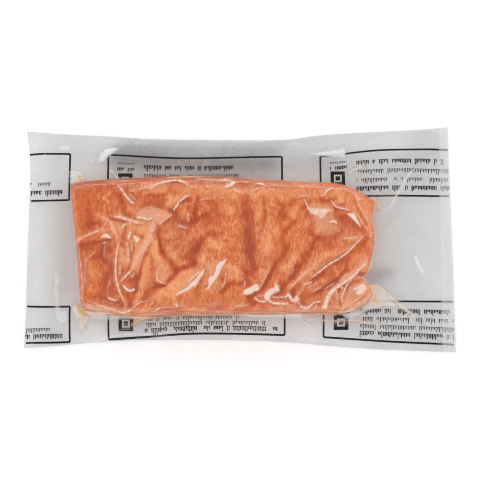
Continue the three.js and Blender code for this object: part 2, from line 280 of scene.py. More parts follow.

# Folds of the tight film: the run of points, the width of the bright crest, how far the film
# stands up there and how white the crest is, which is a painted highlight and the film's haze
FOLDS = [
    ([(-79.5, -5), (-77, -3.2), (-74, -1.2), (-70, 0.4), (-65.8, 2.9)], 1.2, 1.0, 0.65),
    ([(-65.7, 3.2), (-64.6, 5.4), (-63.5, 6.4)], 0.8, 0.7, 0.6),
    ([(-66.2, 8.8), (-64.8, 6.8), (-63.5, 5.9)], 0.8, 0.7, 0.5),
    ([(-63.5, 6.2), (-61.5, 3), (-60, 0), (-58.6, -3.6)], 1.0, 1.0, 0.6),
    ([(-63.8, 5.8), (-60, 5), (-55, 4.6), (-50, 4.5), (-45.5, 4.8)], 0.6, 0.5, 0.4),
    ([(-61.2, 7.7), (-58.5, 8), (-55, 6.7), (-51, 5.6), (-46.6, 4.6)], 1.5, 0.9, 0.85),
    ([(-66.6, -5.2), (-64.3, -4.5)], 0.9, 0.4, 0.7),
    ([(-65, -5), (-65.2, -8.6), (-65.5, -12.8)], 1.3, 0.3, 0.3),
    ([(-56.8, 2.5), (-56, 3.6), (-55, 4.5)], 1.2, 0.6, 0.95),
    ([(-53.9, -3.4), (-53.3, -1), (-52.5, 0.8)], 1.4, 0.7, 1),
    ([(-52, -4.6), (-52.1, -7.4), (-51.9, -9.4)], 0.9, 0.5, 0.6),
    ([(-54.4, -4.6), (-53.8, -9), (-53.4, -13)], 1.0, 0.6, 0.65),
    ([(-53.9, -12.6), (-53.7, -14.2)], 1.7, 0.3, 1),
    ([(-41.5, 8.2), (-42, 5), (-43, 1), (-44.5, -3), (-46.2, -6.4), (-48, -9.6), (-49.8, -13),
     (-51.2, -16.4), (-52.8, -19.2)], 2.4, 1.3, 0.55),
    ([(-40.2, 7.8), (-41, 4), (-42.4, -0.6), (-44.2, -5), (-47.2, -10.6), (-50.4, -16.8)], 0.8, 0.2, 0.7),
    ([(-39.6, 6), (-41.2, -1), (-45.6, -9.6), (-49, -16)], 0.7, 0.2, 0.35),
    ([(-52.4, -18.8), (-54.5, -21), (-57.3, -24.1)], 1.0, 0.8, 0.95),
    ([(-50.2, -19.2), (-51.6, -21.9), (-52.8, -20)], 0.8, 0.4, 0.6),
    ([(-56.3, -25.6), (-54.5, -27.6), (-52.4, -28.6), (-50.2, -27.4)], 1.5, 0.7, 1),
    ([(-58.2, -4.2), (-59, -8), (-59.6, -12), (-59.8, -18), (-59.4, -23), (-58.4, -27), (-57.2, -30.4),
     (-54, -37)], 1.2, 1.0, 0.85),
    ([(-57.6, -15.4), (-57.8, -20.8)], 1.6, 0.3, 0.55),
    ([(-57.5, -8.4), (-56.2, -14.4)], 1.4, 0.2, 0.3),
    ([(-68.8, -8.6), (-71.6, -10.8), (-73.7, -13.5), (-74.7, -17), (-74.3, -23), (-74.2, -31)], 1.0, 0.5,
     0.4),
    ([(-62.4, -11.6), (-63.1, -15)], 1.0, 0.2, 0.28),
    ([(-62.6, -21), (-62.3, -24), (-63.4, -27), (-63, -31)], 1.0, 0.3, 0.3),
    ([(-46, -9.4), (-47.4, -14), (-48.6, -17.4), (-49.6, -20.6)], 0.6, 0.4, 0.4),
    ([(-78.6, -6), (-77.4, -12), (-76.2, -18), (-75.5, -25), (-75.1, -36)], 1.0, 0.3, 0.5),
    ([(-63.6, -32), (-61.5, -32.8), (-59, -33.6)], 1.4, 0.5, 0.85),
    ([(-74, -32.9), (-70, -34.8), (-65, -36.4), (-60, -37.8), (-57, -38.6), (-54, -38.4), (-51, -37),
     (-49.4, -35.3), (-46, -33.9), (-41.8, -33.2)], 0.8, 0.4, 0.75),
    ([(-67, -32.8), (-62, -34.6), (-56.6, -36.2)], 0.8, 0.3, 0.4),
    ([(-42.2, -33.4), (-41.8, -35), (-43.6, -35.9)], 0.9, 0.4, 0.7),
    ([(-59.8, 24.4), (-57, 21), (-55, 18), (-52.5, 15.3), (-51, 14.7)], 1.3, 0.9, 0.95),
    ([(-54, 19.2), (-52, 17.8), (-50.3, 15.9)], 0.8, 0.5, 0.5),
    ([(-53.7, 21.1), (-51.3, 20.7)], 0.8, 0.3, 0.6),
    ([(-49.8, 21.3), (-46, 22.5), (-40.8, 22.5)], 1.1, 0.6, 0.7),
    ([(-44, 21.2), (-42, 23.5), (-38, 25.2), (-34, 26.3), (-31, 26.6), (-28, 26), (-26, 24.5),
     (-23.8, 22.8)], 1.3, 1.1, 0.95),
    ([(-24.6, 23.1), (-20.9, 22.7)], 1.4, 0.4, 0.5),
    ([(-32, 10.9), (-31.5, 12.5), (-30.2, 13.8), (-29.8, 15.3), (-28, 16.6), (-26, 18.2), (-24, 18.8)],
     1.1, 0.9, 1),
    ([(-25, 10.4), (-25, 7.5), (-24.8, 5.8)], 1.2, 0.5, 0.6),
    ([(-20, 16.1), (-17, 16.9), (-13.4, 17.2)], 0.7, 0.3, 0.5),
    ([(-10.4, 17.3), (-7.6, 17.3)], 0.6, 0.2, 0.4),
    ([(-17.2, 23.2), (-12.6, 23.4)], 1.2, 0.3, 0.55),
    ([(-49.9, 9.2), (-46.5, 12), (-43, 12.5), (-38, 11.2), (-32.6, 9.2)], 0.7, 0.8, 0.45),
    ([(-50.9, 8), (-47, 7.4), (-44.5, 6.8), (-42.1, 7.7)], 1.5, 0.7, 1),
    ([(-40.9, 9.6), (-38.4, 8.3)], 1.0, 0.4, 0.8),
    ([(-32.8, 9.2), (-35, 7.5), (-37.5, 5.8), (-39.4, 4.2)], 0.9, 0.8, 0.75),
    ([(-30.4, 3.9), (-27.5, 3.3), (-25.6, 2.3)], 1.2, 0.5, 0.6),
    ([(-22.6, 27.5), (-15, 27.2), (-7.4, 27)], 0.8, 0.2, 0.6),
    ([(-10.2, 26.9), (-6.5, 26.9), (-3.6, 26.3)], 1.1, 0.3, 0.9),
    ([(-7.6, 23.1), (-5, 23.8), (-3.5, 25), (-2, 26.3)], 2.2, 0.7, 1),
    ([(-3.2, 22.2), (-1.5, 21.2), (0.8, 20.6)], 1.2, 0.6, 0.85),
    ([(1.3, 25.9), (4.2, 25.8)], 0.9, 0.3, 0.6),
    ([(7.6, 25.3), (10.5, 25), (11.8, 23.8)], 1.1, 0.4, 0.9),
    ([(11.2, 23.6), (14, 23.8), (17, 24.3), (20, 23.8), (28, 23.5), (37, 23.4), (47.6, 23.2)], 0.9, 0.4, 0.3),
    ([(10.4, 23), (8, 22), (5.6, 21)], 1.0, 0.4, 0.7),
    ([(14.2, 21.5), (18.2, 21.5)], 0.8, 0.2, 0.4),
    ([(28.4, 17.6), (30.5, 18.7), (33, 18)], 0.9, 0.4, 0.55),
    ([(47.6, 23.4), (52, 22), (57, 20), (60, 19.2), (64.4, 17.6)], 0.9, 0.4, 0.35),
    ([(39.1, 18.7), (41.5, 19.4), (42.5, 21), (44.5, 22.6), (46.4, 23)], 1.2, 0.6, 0.8),
    ([(31.4, 17.3), (32.2, 15), (33.3, 12.5), (35, 10), (37.4, 8.7)], 0.9, 0.9, 0.95),
    ([(43.6, 5.2), (45.5, 5.9), (47.2, 4.8)], 1.5, 0.4, 1),
    ([(44.1, 16.8), (45.5, 14.8), (46.7, 13.4), (48.5, 12.6), (51.5, 12), (54.4, 11.1)], 0.9, 0.8, 0.95),
    ([(56.8, 19.5), (57, 17), (58.3, 13.5), (60, 10), (62, 6.5), (63.2, 4)], 0.8, 0.8, 0.65),
    ([(63, 4), (63.8, 1), (64.1, -1), (62.3, -1.9)], 0.8, 0.5, 0.6),
    ([(57.3, 8.6), (58.6, 6.4), (60, 4), (61.7, 1.9)], 0.7, 0.4, 0.4),
    ([(49, -2.8), (53, -2.4), (57.4, -1.9)], 0.9, 0.5, 0.7),
    ([(61, -1.2), (57, -4.5), (53, -8.8), (50, -11.2), (46.5, -13.5), (43, -15.6), (40, -18),
     (36.5, -20.8), (33, -23.6)], 1.0, 1.1, 0.9),
    ([(54.4, -7), (49, -10.4), (45, -12.9), (41, -15.6), (36.4, -19)], 0.6, 0.5, 0.4),
    ([(24.6, -27.8), (26.4, -25), (28.6, -22.6), (32, -19.6), (36.6, -16.2)], 1.4, 0.6, 0.5),
    ([(30.1, -26.3), (33, -24.8), (35.2, -24.3)], 1.1, 0.5, 0.7),
    ([(30.8, -27.5), (34, -26.6), (36.5, -25.5), (37.7, -23.6)], 0.7, 0.4, 0.4),
    ([(34.8, -29.5), (37, -28), (39.4, -26.9)], 0.8, 0.6, 0.6),
    ([(26.9, -32.6), (29, -29.5), (31.2, -27.4)], 1.0, 0.5, 0.45),
    ([(40.4, -28.3), (43, -26.4), (46.4, -24.5)], 0.9, 0.4, 0.5),
    ([(26.4, -17.5), (24.9, -20.5)], 0.9, 0.3, 0.35),
    ([(15.1, -15.3), (13.5, -19.5), (12, -22.5), (10.5, -25.5), (9.7, -27.6)], 0.9, 0.9, 0.5),
    ([(17.7, -26), (18.6, -21.5)], 0.9, 0.3, 0.3),
    ([(0.9, -21.6), (2.3, -24), (2.6, -25.5), (1.4, -26.9)], 0.8, 0.5, 0.5),
    ([(-6.4, -18.5), (-6.8, -22), (-7.2, -25), (-8.2, -26.6), (-9.3, -28)], 1.0, 0.5, 0.55),
    ([(39.9, -37.2), (41, -34.2), (42.2, -31.6), (43.5, -29.4), (45, -28), (46.8, -27), (50.5, -24.4),
     (54.5, -21.5), (58.5, -17.2), (62.6, -13)], 1.5, 1.0, 1),
    ([(46.3, -27.4), (46.9, -30.6), (47.3, -34)], 0.8, 0.7, 0.65),
    ([(47.2, -34), (48, -36.4), (49, -38.2)], 0.8, 0.4, 0.6),
    ([(54.9, -22.7), (52.5, -24.5), (51, -27), (49.8, -30), (49, -32), (49.4, -34.4), (50, -36.4),
     (48.9, -38.4)], 1.0, 0.8, 0.85),
    ([(50, -36.3), (52, -33.2), (53.2, -31.1)], 0.8, 0.4, 0.5),
    ([(49.2, -26.6), (49.3, -27.7)], 1.6, 0.3, 0.8),
    ([(60.8, -25.2), (60.5, -28.3), (58.5, -31), (56, -33.4), (52.2, -36.2)], 0.8, 0.6, 0.6),
    ([(58.2, -21.7), (60.4, -22.3), (61, -24), (63.2, -24.5)], 1.5, 0.6, 0.85),
    ([(-25, -25), (-23, -22.8), (-21, -21), (-19, -19.1)], 1.2, 0.5, 0.8),
    ([(-40, -17.7), (-39.8, -21), (-39.3, -23.3), (-38, -24.3), (-35.3, -25.1)], 1.1, 0.8, 0.85),
    ([(-42.8, -25.8), (-41.4, -25.5)], 1.0, 0.2, 0.5),
    ([(-17, -25.2), (-16.1, -25.8)], 1.4, 0.3, 0.65),
    ([(7.2, -31.3), (8.2, -33), (10, -33.8), (13.4, -33.9)], 1.2, 0.5, 0.95),
    ([(13.9, -31.4), (14.4, -33.6), (17, -34.7), (20, -34.9), (25, -35.3)], 1.5, 0.5, 1),
    ([(15.4, -31.6), (19, -31.8), (21.8, -31.3)], 1.0, 0.4, 0.75),
    ([(8.8, -31.5), (12, -31), (13.8, -32.6)], 0.9, 0.3, 0.6),
    ([(21.8, -32.2), (23.6, -30.4), (24.8, -32.8), (26.6, -33.7)], 1.7, 0.5, 1),
    ([(28.2, -32), (28.5, -34.8), (30, -36.4), (32.5, -36.8), (34.3, -35.6), (36, -34.3), (38.5, -34),
     (40.6, -34.4)], 1.1, 0.5, 0.9),
    ([(36.8, -34.9), (36.5, -37.6)], 1.0, 0.3, 0.7),
    ([(-31.2, -34.6), (-29.6, -36)], 2.0, 0.4, 0.9),
    ([(-40.2, -37), (-33, -36.4), (-24.6, -36)], 0.9, 0.3, 0.4),
    ([(-41, -38.7), (-37.8, -36.4)], 1.0, 0.2, 0.6),
    ([(-22.2, -35.6), (-14, -35.3), (-5.8, -35.6)], 0.9, 0.3, 0.3),
    ([(-16, -35.8), (-11.6, -35.3)], 1.6, 0.2, 0.3),
    ([(-3.2, -36.1), (4.4, -35.5)], 1.1, 0.3, 0.6),
    ([(-75.4, -35.4), (-68, -37), (-61, -38.2)], 2.4, 0.2, 0.45),
    ([(51, -38), (57, -35.4), (61.4, -32.4), (63.6, -28.6)], 3, 0.2, 0.6),
    ([(65, -12), (65.8, -4), (66, 2)], 1.4, 0.2, 0.5),
]

# Films of bag that bridge a hollow or face the lamps: corners, rise, paleness, edge; the paleness is the
# lifted film's haze and a painted glare
FLAPS = [
    ([(-49.8, 9.2), (-46.5, 11.8), (-43, 12.4), (-38, 11.2), (-33, 9.3), (-38.8, 4.9), (-42.6, 7),
     (-47, 7.6)], 0.5, 0.38, 1.8),
    ([(-67.2, -2), (-65.5, -0.2), (-64, -0.5), (-61.9, -2.6)], 0.3, 1.0, 0.6),
    ([(-51.6, -1.2), (-48.1, -2.8), (-50, -5.3)], 0.3, 1.0, 0.6),
    ([(33.1, 12.5), (36, 12.6), (39, 12.3), (41, 12.5), (44.9, 11.8), (42, 9.8), (41.5, 8.3), (39.8, 7),
     (37.5, 8.3), (35, 9.8)], 0.3, 0.8, 1.3),
    ([(32.6, 12), (33.6, 14.6), (39, 14.4), (44.6, 14), (45.2, 11.4)], 0.2, 0.15, 1.6),
    ([(34.8, 10.4), (37.4, 5.4), (42.8, 5.6), (44, 11)], 0.0, 0.3, 6),
    ([(35.6, 9.6), (43.2, 10.4), (47.6, 5), (47.6, 0.6), (44, -1.6), (38, 0.4), (35.6, 4.4)], 0.7, 0.09, 5),
    ([(52.2, 9.9), (55.7, 10.2), (58.8, 3.1)], 0.3, 1.0, 0.6),
    ([(-30.8, -31.2), (-29.7, -29.3), (-27, -28.2), (-25.2, -27), (-23.6, -25.1), (-21.4, -23.1),
     (-18.4, -19.4), (-16.8, -17.9), (-17.5, -20.5), (-19, -22.7), (-20.4, -25.2), (-21.3, -26.9),
     (-22.6, -26.6), (-23.6, -27.8), (-25.6, -28.9), (-28, -29.8)], 0.8, 1.0, 0.6),
    ([(-29.8, -28), (-26, -23.6), (-21.6, -19.2), (-17.2, -16.4), (-17.6, -19.4), (-21.8, -23.6),
     (-25.4, -27)], 0.2, 0.22, 2.4),
    ([(-16.2, -28.5), (-14.9, -26), (-15.1, -23.7), (-14.5, -21.8), (-12.9, -21.6), (-11.6, -19),
     (-11.4, -16.8), (-9.6, -14.8), (-6, -13.1), (-7.7, -16), (-9.3, -19), (-10.6, -21.7), (-12.6, -24.6),
     (-14.8, -27.7)], 0.7, 1.0, 0.6),
    ([(-16, -16.4), (-12.8, -13), (-8.4, -14), (-11, -18), (-12.4, -21.6), (-15, -20.4)], 0.2, 0.24, 2.6),
    ([(1.5, -30.1), (2.4, -28.2), (5, -26.9), (7.3, -25.4), (8.7, -25.4), (9.6, -27), (9.1, -28.3),
     (7, -28.9), (5.5, -30), (3.5, -30.6)], 0.6, 1.0, 0.6),
    ([(17.2, -24.5), (18.5, -26), (19.1, -28.2), (17.5, -29.3), (16, -29.9), (14.8, -31), (14.2, -33.2),
     (12.7, -33.3), (11.7, -32), (12, -30.1), (13.3, -28.4), (15, -27.4), (16.7, -26.7)], 0.6, 1.0, 0.8),
    ([(53.9, -28.6), (56, -26.6), (59, -25.2), (60.7, -25.8), (60.4, -28), (58.7, -30.4), (56.6, -30.9),
     (55.4, -29.4), (57, -28)], 0.4, 1.0, 0.6),
    ([(45.2, -27), (48, -23.2), (50.5, -20), (53.4, -19.4), (57.2, -16.2), (62.2, -11.6), (61.2, -15),
     (56.6, -19.4), (52, -23.6), (47.6, -26.6)], 0.3, 0.36, 1.8),
    ([(39.6, -37), (41.1, -33), (43, -29.6), (45.6, -27), (47.4, -26.4), (46.2, -28.4), (44.4, -30.4),
     (42.8, -33.4), (41.7, -37)], 0.4, 0.9, 0.8),
    ([(49.2, -2.9), (57, -1.7), (61, -0.9), (57, -4.2), (53, -4)], 0.1, 0.2, 1.4),
    ([(25.6, -33.2), (27.4, -30.6), (28.8, -32.8), (27, -34.6)], 0.3, 0.9, 0.8),
    ([(-39.8, -12.5), (-35, -16.4), (-32, -19), (-35, -23.6), (-38.6, -24), (-39.8, -20)], 0.4, 0.08, 1.4),
    ([(-62.5, 5), (-50, 4.2), (-47, 0), (-50, -10), (-55, -18), (-58, -16), (-59, -4)], 0.4, 0.06, 1.4),
    ([(42, -34), (46.4, -27.8), (47, -37), (42, -38)], 0.3, 0.1, 1.4),
    ([(50, -30), (54, -24.6), (61, -23.6), (61.4, -29), (56, -34), (50.4, -36.8)], 0.5, 0.22, 1.4),
    ([(-44.6, 22), (-35, 25.6), (-31.4, 25.6), (-36, 19.8), (-45, 20.6)], 0.3, 0.05, 1.4),
]


FOLD_FOOT = 1.3
FOLD_CREST_SHARE = 0.46
FOLD_GLOW = 0.35
FOLD_GLOW_REACH = 1.1
FOLD_SHADOW_REACH = 1.3
FOLD_LEAST_TAPER = 0.12
FOLD_UNEVENNESS = 0.22


def fold_relief(x, y, folds):
    """Crisp folds that taper to both ends: their height, their painted highlight with the film's haze, and
    the painted shade beside.
    """
    height = np.zeros(x.shape)
    white = np.zeros(x.shape)
    dark = np.zeros(x.shape)
    for path, width, lift, pale in folds:
        gap, share, lit = near_stroke(x, y, path, width + 4)
        taper = np.clip(6 * share * (1 - share), FOLD_LEAST_TAPER, 1)
        taper = taper * (1 - FOLD_UNEVENNESS * (1 + np.sin(7 * share * len(path) + path[0][0])))
        rise = np.clip(1 - gap / (0.8 * width + FOLD_FOOT), 0, 1)
        height = np.maximum(height, 0.85 * lift * taper * rise ** 1.3)
        core = np.clip(1.5 - gap / (FOLD_CREST_SHARE * width * taper ** 0.6), 0, 1)
        glow = FOLD_GLOW * np.exp(-gap / FOLD_GLOW_REACH) * np.clip(0.3 + lit, 0, 1)
        white = np.maximum(white, pale * taper ** 0.3 * np.maximum(core, glow))
        beside = np.exp(-((gap / FOLD_SHADOW_REACH) ** 2)) * np.clip(0.6 - lit, 0, 1)
        dark = np.maximum(dark, (0.5 + 0.6 * pale) * taper * beside)
    return height, white, dark


def flap_cover(x, y, corners, soft):
    """1 inside a straight-sided flap and 0 outside it, with a soft edge."""
    ring = np.array([*corners, corners[0]], dtype=float)
    within = np.zeros(x.shape, dtype=bool)
    gap = np.full(x.shape, np.inf)
    for start, end in zip(ring[:-1], ring[1:]):
        run = end - start
        crosses = (start[1] > y) != (end[1] > y)
        level = np.where(run[1] == 0, 1, run[1])
        within ^= crosses & (x < start[0] + (y - start[1]) * run[0] / level)
        part = np.clip(((x - start[0]) * run[0] + (y - start[1]) * run[1]) / (run @ run), 0, 1)
        gap = np.minimum(gap, np.hypot(x - start[0] - part * run[0], y - start[1] - part * run[1]))
    return np.clip(0.5 + np.where(within, gap, -gap) / soft, 0, 1)


FLAP_FOOT = 2.2

fold_height, fold_glint_and_haze, fold_shade = fold_relief(top_x, top_y, FOLDS)
flap_height = np.zeros(top_x.shape)
flap_glare_and_haze = np.zeros(top_x.shape)
# The flaps' paleness: the lifted film's haze and a painted glare
for corners, lift, pale, edge in FLAPS:
    flap_height += lift * flap_cover(top_x, top_y, corners, FLAP_FOOT)
    flap_glare_and_haze = np.maximum(flap_glare_and_haze, pale * flap_cover(top_x, top_y, corners, edge))
fold_glint_and_haze = np.maximum(fold_glint_and_haze, flap_glare_and_haze)
film_relief = fold_height + flap_height

# Where the flesh is darker and redder, and where it is paler: painted shade in furrows, valleys and
# beside crests, painted light on lit crests, and the flesh's own tone. A run of points, its reach and how
# much, below 0 for darker
FLESH_TONE_AND_SHADE_STROKES = [
    ([(-60, 4), (-46, 6), (-50, -8), (-46, -20)], 7, 0.3),
    ([(-46, 23), (-10, 21.5), (30, 21), (52, 19)], 3, 0.4),
    ([(51, -30), (59, -27)], 6, 0.35),
    ([(-34, -29), (-14, -23)], 5, 0.25),
    ([(58, 16), (63, 6)], 4, 0.3),
    ([(57, -11), (60, -15)], 3.4, 0.35),
    ([(-77, 19), (-75.4, 12), (-74.4, 4)], 4.6, -0.4),
    ([(-41.4, 7), (-43.2, 0), (-46.8, -8), (-51, -16.4)], 1.3, 0.8),
    ([(-70, 16), (-70, -28)], 8, -0.15),
    ([(-72.4, 7.4), (-73, 3.6)], 1.7, -0.45),
    ([(-71.4, 5), (-66.2, 5)], 1.3, -0.5),
    ([(-68, 22), (-61, 21)], 2.6, -0.3),
    ([(-67, 17), (-62, 18)], 1.9, -0.2),
    ([(-66.2, 17.6), (-63.8, 15.9)], 0.8, 0.5),
    ([(-66.2, 18.4), (-63.3, 20.1)], 0.8, 0.4),
    ([(-68.2, 9), (-66, 7.5), (-64.5, 6.5)], 1.1, 0.4),
    ([(-64, 10), (-63.4, 10.6)], 1.4, -0.4),
    ([(-60.6, 11.4), (-60, 12)], 1.4, -0.4),
    ([(-63, 7.5), (-60.5, 6.6), (-58.5, 6), (-55.5, 5.3)], 0.8, -1.1),
    ([(-58, 18.5), (-57, 15), (-56, 11), (-54.5, 9.2), (-51.5, 7.8)], 1.5, -0.8),
    ([(-55.2, 22), (-55, 20)], 0.9, -0.6),
    ([(-79, -3.6), (-72, -0.6), (-66.5, 1.4)], 1.5, 0.35),
    ([(-76.4, -5.6), (-72, -5), (-67, -4), (-62.3, -3.2)], 0.9, -1),
    ([(-77, -7), (-72, -7.2)], 2.1, -0.6),
    ([(-66.6, -6.2), (-67, -10)], 1.4, -0.9),
    ([(-63, -5.2), (-62.6, -9)], 1.3, -0.5),
    ([(-71.6, -12), (-67.4, -11.8), (-65, -14.4)], 1.3, -0.7),
    ([(-62.5, -15.4), (-61.8, -19)], 1.8, -0.55),
    ([(-63.6, -20.2), (-64.6, -24)], 1.8, -0.6),
    ([(-66.4, -26), (-66, -29)], 1.5, -0.35),
    ([(-61, -26.8), (-61, -28.8)], 1.3, -0.5),
    ([(-71.2, -30.8), (-69, -32.2)], 1.7, -0.45),
    ([(-66.4, -31.4), (-64, -33), (-60, -34.3), (-56.6, -35.2)], 1.1, -0.75),
    ([(-57.6, -34.2), (-57, -35.8)], 1.3, -0.7),
    ([(-72.6, -14), (-71, -20), (-71.4, -28)], 2.6, 0.15),
    ([(-65, -12), (-64.6, -30)], 3.4, -0.2),
    ([(-51.6, -5.6), (-51.8, -9), (-52.6, -12.4)], 1, -0.55),
    ([(-55.5, 3), (-56.2, -1), (-56.4, -6.4)], 1.1, -0.6),
    ([(-50.5, 1), (-49.5, -0.5), (-46.8, -2.2)], 1.3, -0.45),
    ([(-52, -14.6), (-54.8, -18.8)], 1.3, -0.5),
    ([(-57.5, -8.6), (-56.3, -14)], 1.3, 0.4),
    ([(-49.5, -20.8), (-50.5, -24.5), (-49.8, -27.6)], 1.7, -0.85),
    ([(-52.4, -22.8), (-53.2, -23.8)], 1.1, -0.5),
    ([(-54.8, -30.2), (-53, -33), (-52.4, -36.4)], 1.1, -0.65),
    ([(-45.4, -9.8), (-46.5, -14), (-47.7, -18), (-48.8, -22.4)], 0.9, -0.55),
    ([(-44.4, -12.6), (-46.3, -22), (-48, -29), (-49.8, -34)], 1.7, 0.4),
    ([(-47.4, -20), (-49.2, -25), (-51.2, -31), (-52.8, -35)], 0.8, -0.6),
    ([(-45.6, -32.2), (-43.4, -29), (-41.2, -26.9)], 2, -1),
    ([(-49.4, 18.7), (-44.6, 15.8)], 2.4, -0.5),
    ([(-46.4, 13.2), (-42, 14.6), (-36.6, 12.7)], 1.9, -0.5),
    ([(-42.2, 17.6), (-37.8, 16)], 2, -0.35),
    ([(-34.2, 18.2), (-32.5, 16.5), (-30.3, 17.6)], 1.5, 0.55),
    ([(-35.2, 13.8), (-34.2, 14.8)], 1.3, 0.3),
    ([(-27.4, 16.1), (-24.2, 17.1)], 1.1, -0.75),
    ([(-33.2, 11.8), (-31.5, 9.5), (-30.5, 7.5), (-29, 6), (-25, 5), (-21, 7), (-15.6, 9.4)], 1.4, -1),
    ([(-21.5, 6.8), (-21.8, 10), (-21.5, 13), (-19.9, 17.8)], 1.2, -0.8),
    ([(-12.5, 15.4), (-11.5, 10), (-13, 7), (-16.4, 5.8)], 2.3, -0.4),
    ([(-44.4, 19), (-38, 19), (-36, 19.7), (-35, 21), (-32.4, 25.8)], 0.9, -0.65),
    ([(-33.2, 21.4), (-28.8, 23)], 2.5, -0.25),
    ([(-42.2, 22.5), (-36.8, 22.6)], 1.7, 0.6),
    ([(-33.8, 7.6), (-36.2, 5.9)], 1, -0.7),
    ([(-42.8, -0.2), (-41, 1), (-40, 0.3), (-39.2, -2), (-38.8, -5), (-37.9, -9.4)], 0.9, -0.9),
    ([(-39.2, 3.2), (-37.8, 0.8)], 1.1, -0.5),
    ([(-42.3, -2.6), (-41, -5.4), (-41, -11)], 1.5, 0.55),
    ([(-34.4, -1.2), (-33, -0.4)], 1.5, 0.35),
    ([(-37.3, -3.1), (-33, -3), (-29.7, -2.5)], 0.6, -0.5),
    ([(-12.8, -0.4), (-16, -1), (-18, -3), (-20, -5), (-20.6, -7), (-23.4, -8.2)], 2, -0.75),
    ([(-20.5, -5.8), (-20.9, -7.8)], 1.5, -0.6),
    ([(-18.4, 1.4), (-15.2, 1.9)], 2.1, 0.3),
    ([(-13.8, -3.3), (-9.6, -7.4)], 2.5, 0.35),
    ([(-38.1, -5.8), (-37, -8), (-36, -11), (-34, -13), (-32, -15.5), (-30.8, -18.4)], 1.4, -0.75),
    ([(-33.8, -8.2), (-30.2, -13.8)], 1.9, 0.4),
    ([(-26.4, -11.4), (-23.5, -12.5), (-22.1, -14.8)], 1.6, -0.7),
    ([(-21.4, -8.4), (-22, -11), (-22, -14.2)], 1.7, -0.55),
    ([(-35.3, -24.2), (-33.5, -22.5), (-31.5, -20.5), (-30.5, -18.3), (-28.5, -17.2), (-22.2, -15.9)],
     1.35, -1.05),
    ([(-40.8, -25.6), (-38.5, -26.1), (-36, -25.9)], 0.9, -1.3),
    ([(-42, -11.6), (-42.5, -17), (-41.4, -25)], 1.1, -0.5),
    ([(-38.7, -12.6), (-36.6, -17), (-37, -22)], 1.9, 0.35),
    ([(-42.4, -31.4), (-34, -26.6), (-26, -20.4), (-19.6, -14.2)], 2.5, 0.3),
    ([(-35.7, -28.3), (-33.8, -28.4)], 1.1, -0.4),
    ([(-32.7, -27), (-31.4, -27.7)], 1.3, 0.35),
    ([(-32.7, -30.3), (-32.3, -31.9)], 1.7, 0.35),
    ([(-19.7, -23.8), (-18.3, -25), (-20, -28), (-20, -30)], 1.7, -0.6),
    ([(-8.8, -21.7), (-8.2, -23.3)], 1.4, -0.45),
    ([(-26.4, -32.2), (-21.6, -31)], 2.1, -0.25),
    ([(-16.8, -11), (-17.7, -13.8)], 1.5, 0.35),
    ([(3.2, 19.4), (2.9, 16), (3, 13)], 2.4, -0.6),
    ([(3.6, 9.8), (4.9, 6), (4.4, 3.5), (4.4, 0), (5, -3), (5.4, -6.4)], 2.9, -0.75),
    ([(3.9, 1), (4.4, -3), (4.9, -8)], 2.2, -0.45),
    ([(5, -8.6), (6, -13), (6.9, -17.4)], 1.8, -0.8),
    ([(3.3, -9.2), (3.9, -11.4)], 1.7, -0.5),
    ([(3.4, -19.3), (5.8, -20.1)], 1.8, -0.8),
    ([(2.9, -21.8), (4.1, -25.3)], 1.4, -0.75),
    ([(1.8, -17.5), (3.2, -18.1)], 1.5, -0.4),
    ([(11.7, 17.8), (12, 4.6)], 1.1, -0.35),
    ([(19.9, 15.3), (21.5, 13.5), (20.5, 11), (21, 8.7)], 1.6, -0.6),
    ([(25.3, 15.4), (25.7, 16.6)], 1.4, -0.4),
    ([(21.8, 1.8), (24, 3.5), (26.8, 6.3)], 1.2, -0.45),
    ([(21.4, 1), (20.6, -2), (21, -5.2)], 1.3, -0.5),
    ([(23.2, -7.2), (21.6, -9.6), (19.6, -12.4), (17.7, -13.8)], 1.6, -0.7),
    ([(9.1, 7.6), (10.1, 13.4)], 1.7, 0.35),
    ([(14.3, 4.7), (15.2, 3.8)], 1.6, 0.3),
    ([(17.6, 2.3), (16.9, 0.7)], 1.5, 0.3),
    ([(12.9, -1.6), (13.5, -6.4)], 2.1, 0.3),
    ([(20.3, 17.3), (21.2, 18.2)], 1.3, 0.3),
    ([(26, 11.4), (26, 8.6)], 1.5, 0.35),
    ([(-6.4, 12.7), (-4.6, 11.8)], 2.1, 0.25),
    ([(10.7, -10.3), (12.9, -8.7)], 2.3, 0.2),
    ([(10, -18.3), (11.2, -18.3)], 1.2, 0.5),
    ([(26.6, -10.6), (25, -14), (21.7, -17.3)], 1.7, 0.45),
    ([(-5.2, -17), (-2.3, -20.4)], 3, 0.35),
    ([(-2.1, -16.8), (-1.5, -18.3)], 1, 0.3),
    ([(-8.7, -29.3), (-7, -27.8), (-5, -25.5), (-3.5, -24.6), (-1.5, -25.4), (1.2, -25)], 1.2, -0.8),
    ([(17.2, -15.4), (16, -18), (14.5, -21), (13, -24), (11.5, -26), (10, -28.3), (8, -29.4), (6.3, -31),
     (3.7, -31.3)], 1.1, -1),
    ([(4.8, -32.8), (6.7, -34.8)], 1.7, -0.8),
    ([(20.5, -24.8), (20.5, -28), (19.5, -29.8), (17.2, -30.6)], 1.5, -0.85),
    ([(27.4, -15.3), (25.6, -19.6), (24, -22.5), (22.5, -25), (21.1, -27.3)], 1.1, -0.65),
    ([(25.9, -28.2), (25.3, -31.4)], 1.4, -0.8),
    ([(39.2, 17.1), (42, 16.5), (44.3, 16.5)], 1.1, -0.9),
    ([(31.9, 15.3), (32.8, 12), (34, 9), (35.5, 6), (34.5, 2), (36, -1), (38.3, -2.1)], 1.3, -0.5),
    ([(37.7, -2), (44, -2.2), (47.5, -1), (49, 1), (49.5, 5), (48.5, 8), (47.5, 11), (46.4, 13.3)], 1.4,
     -0.55),
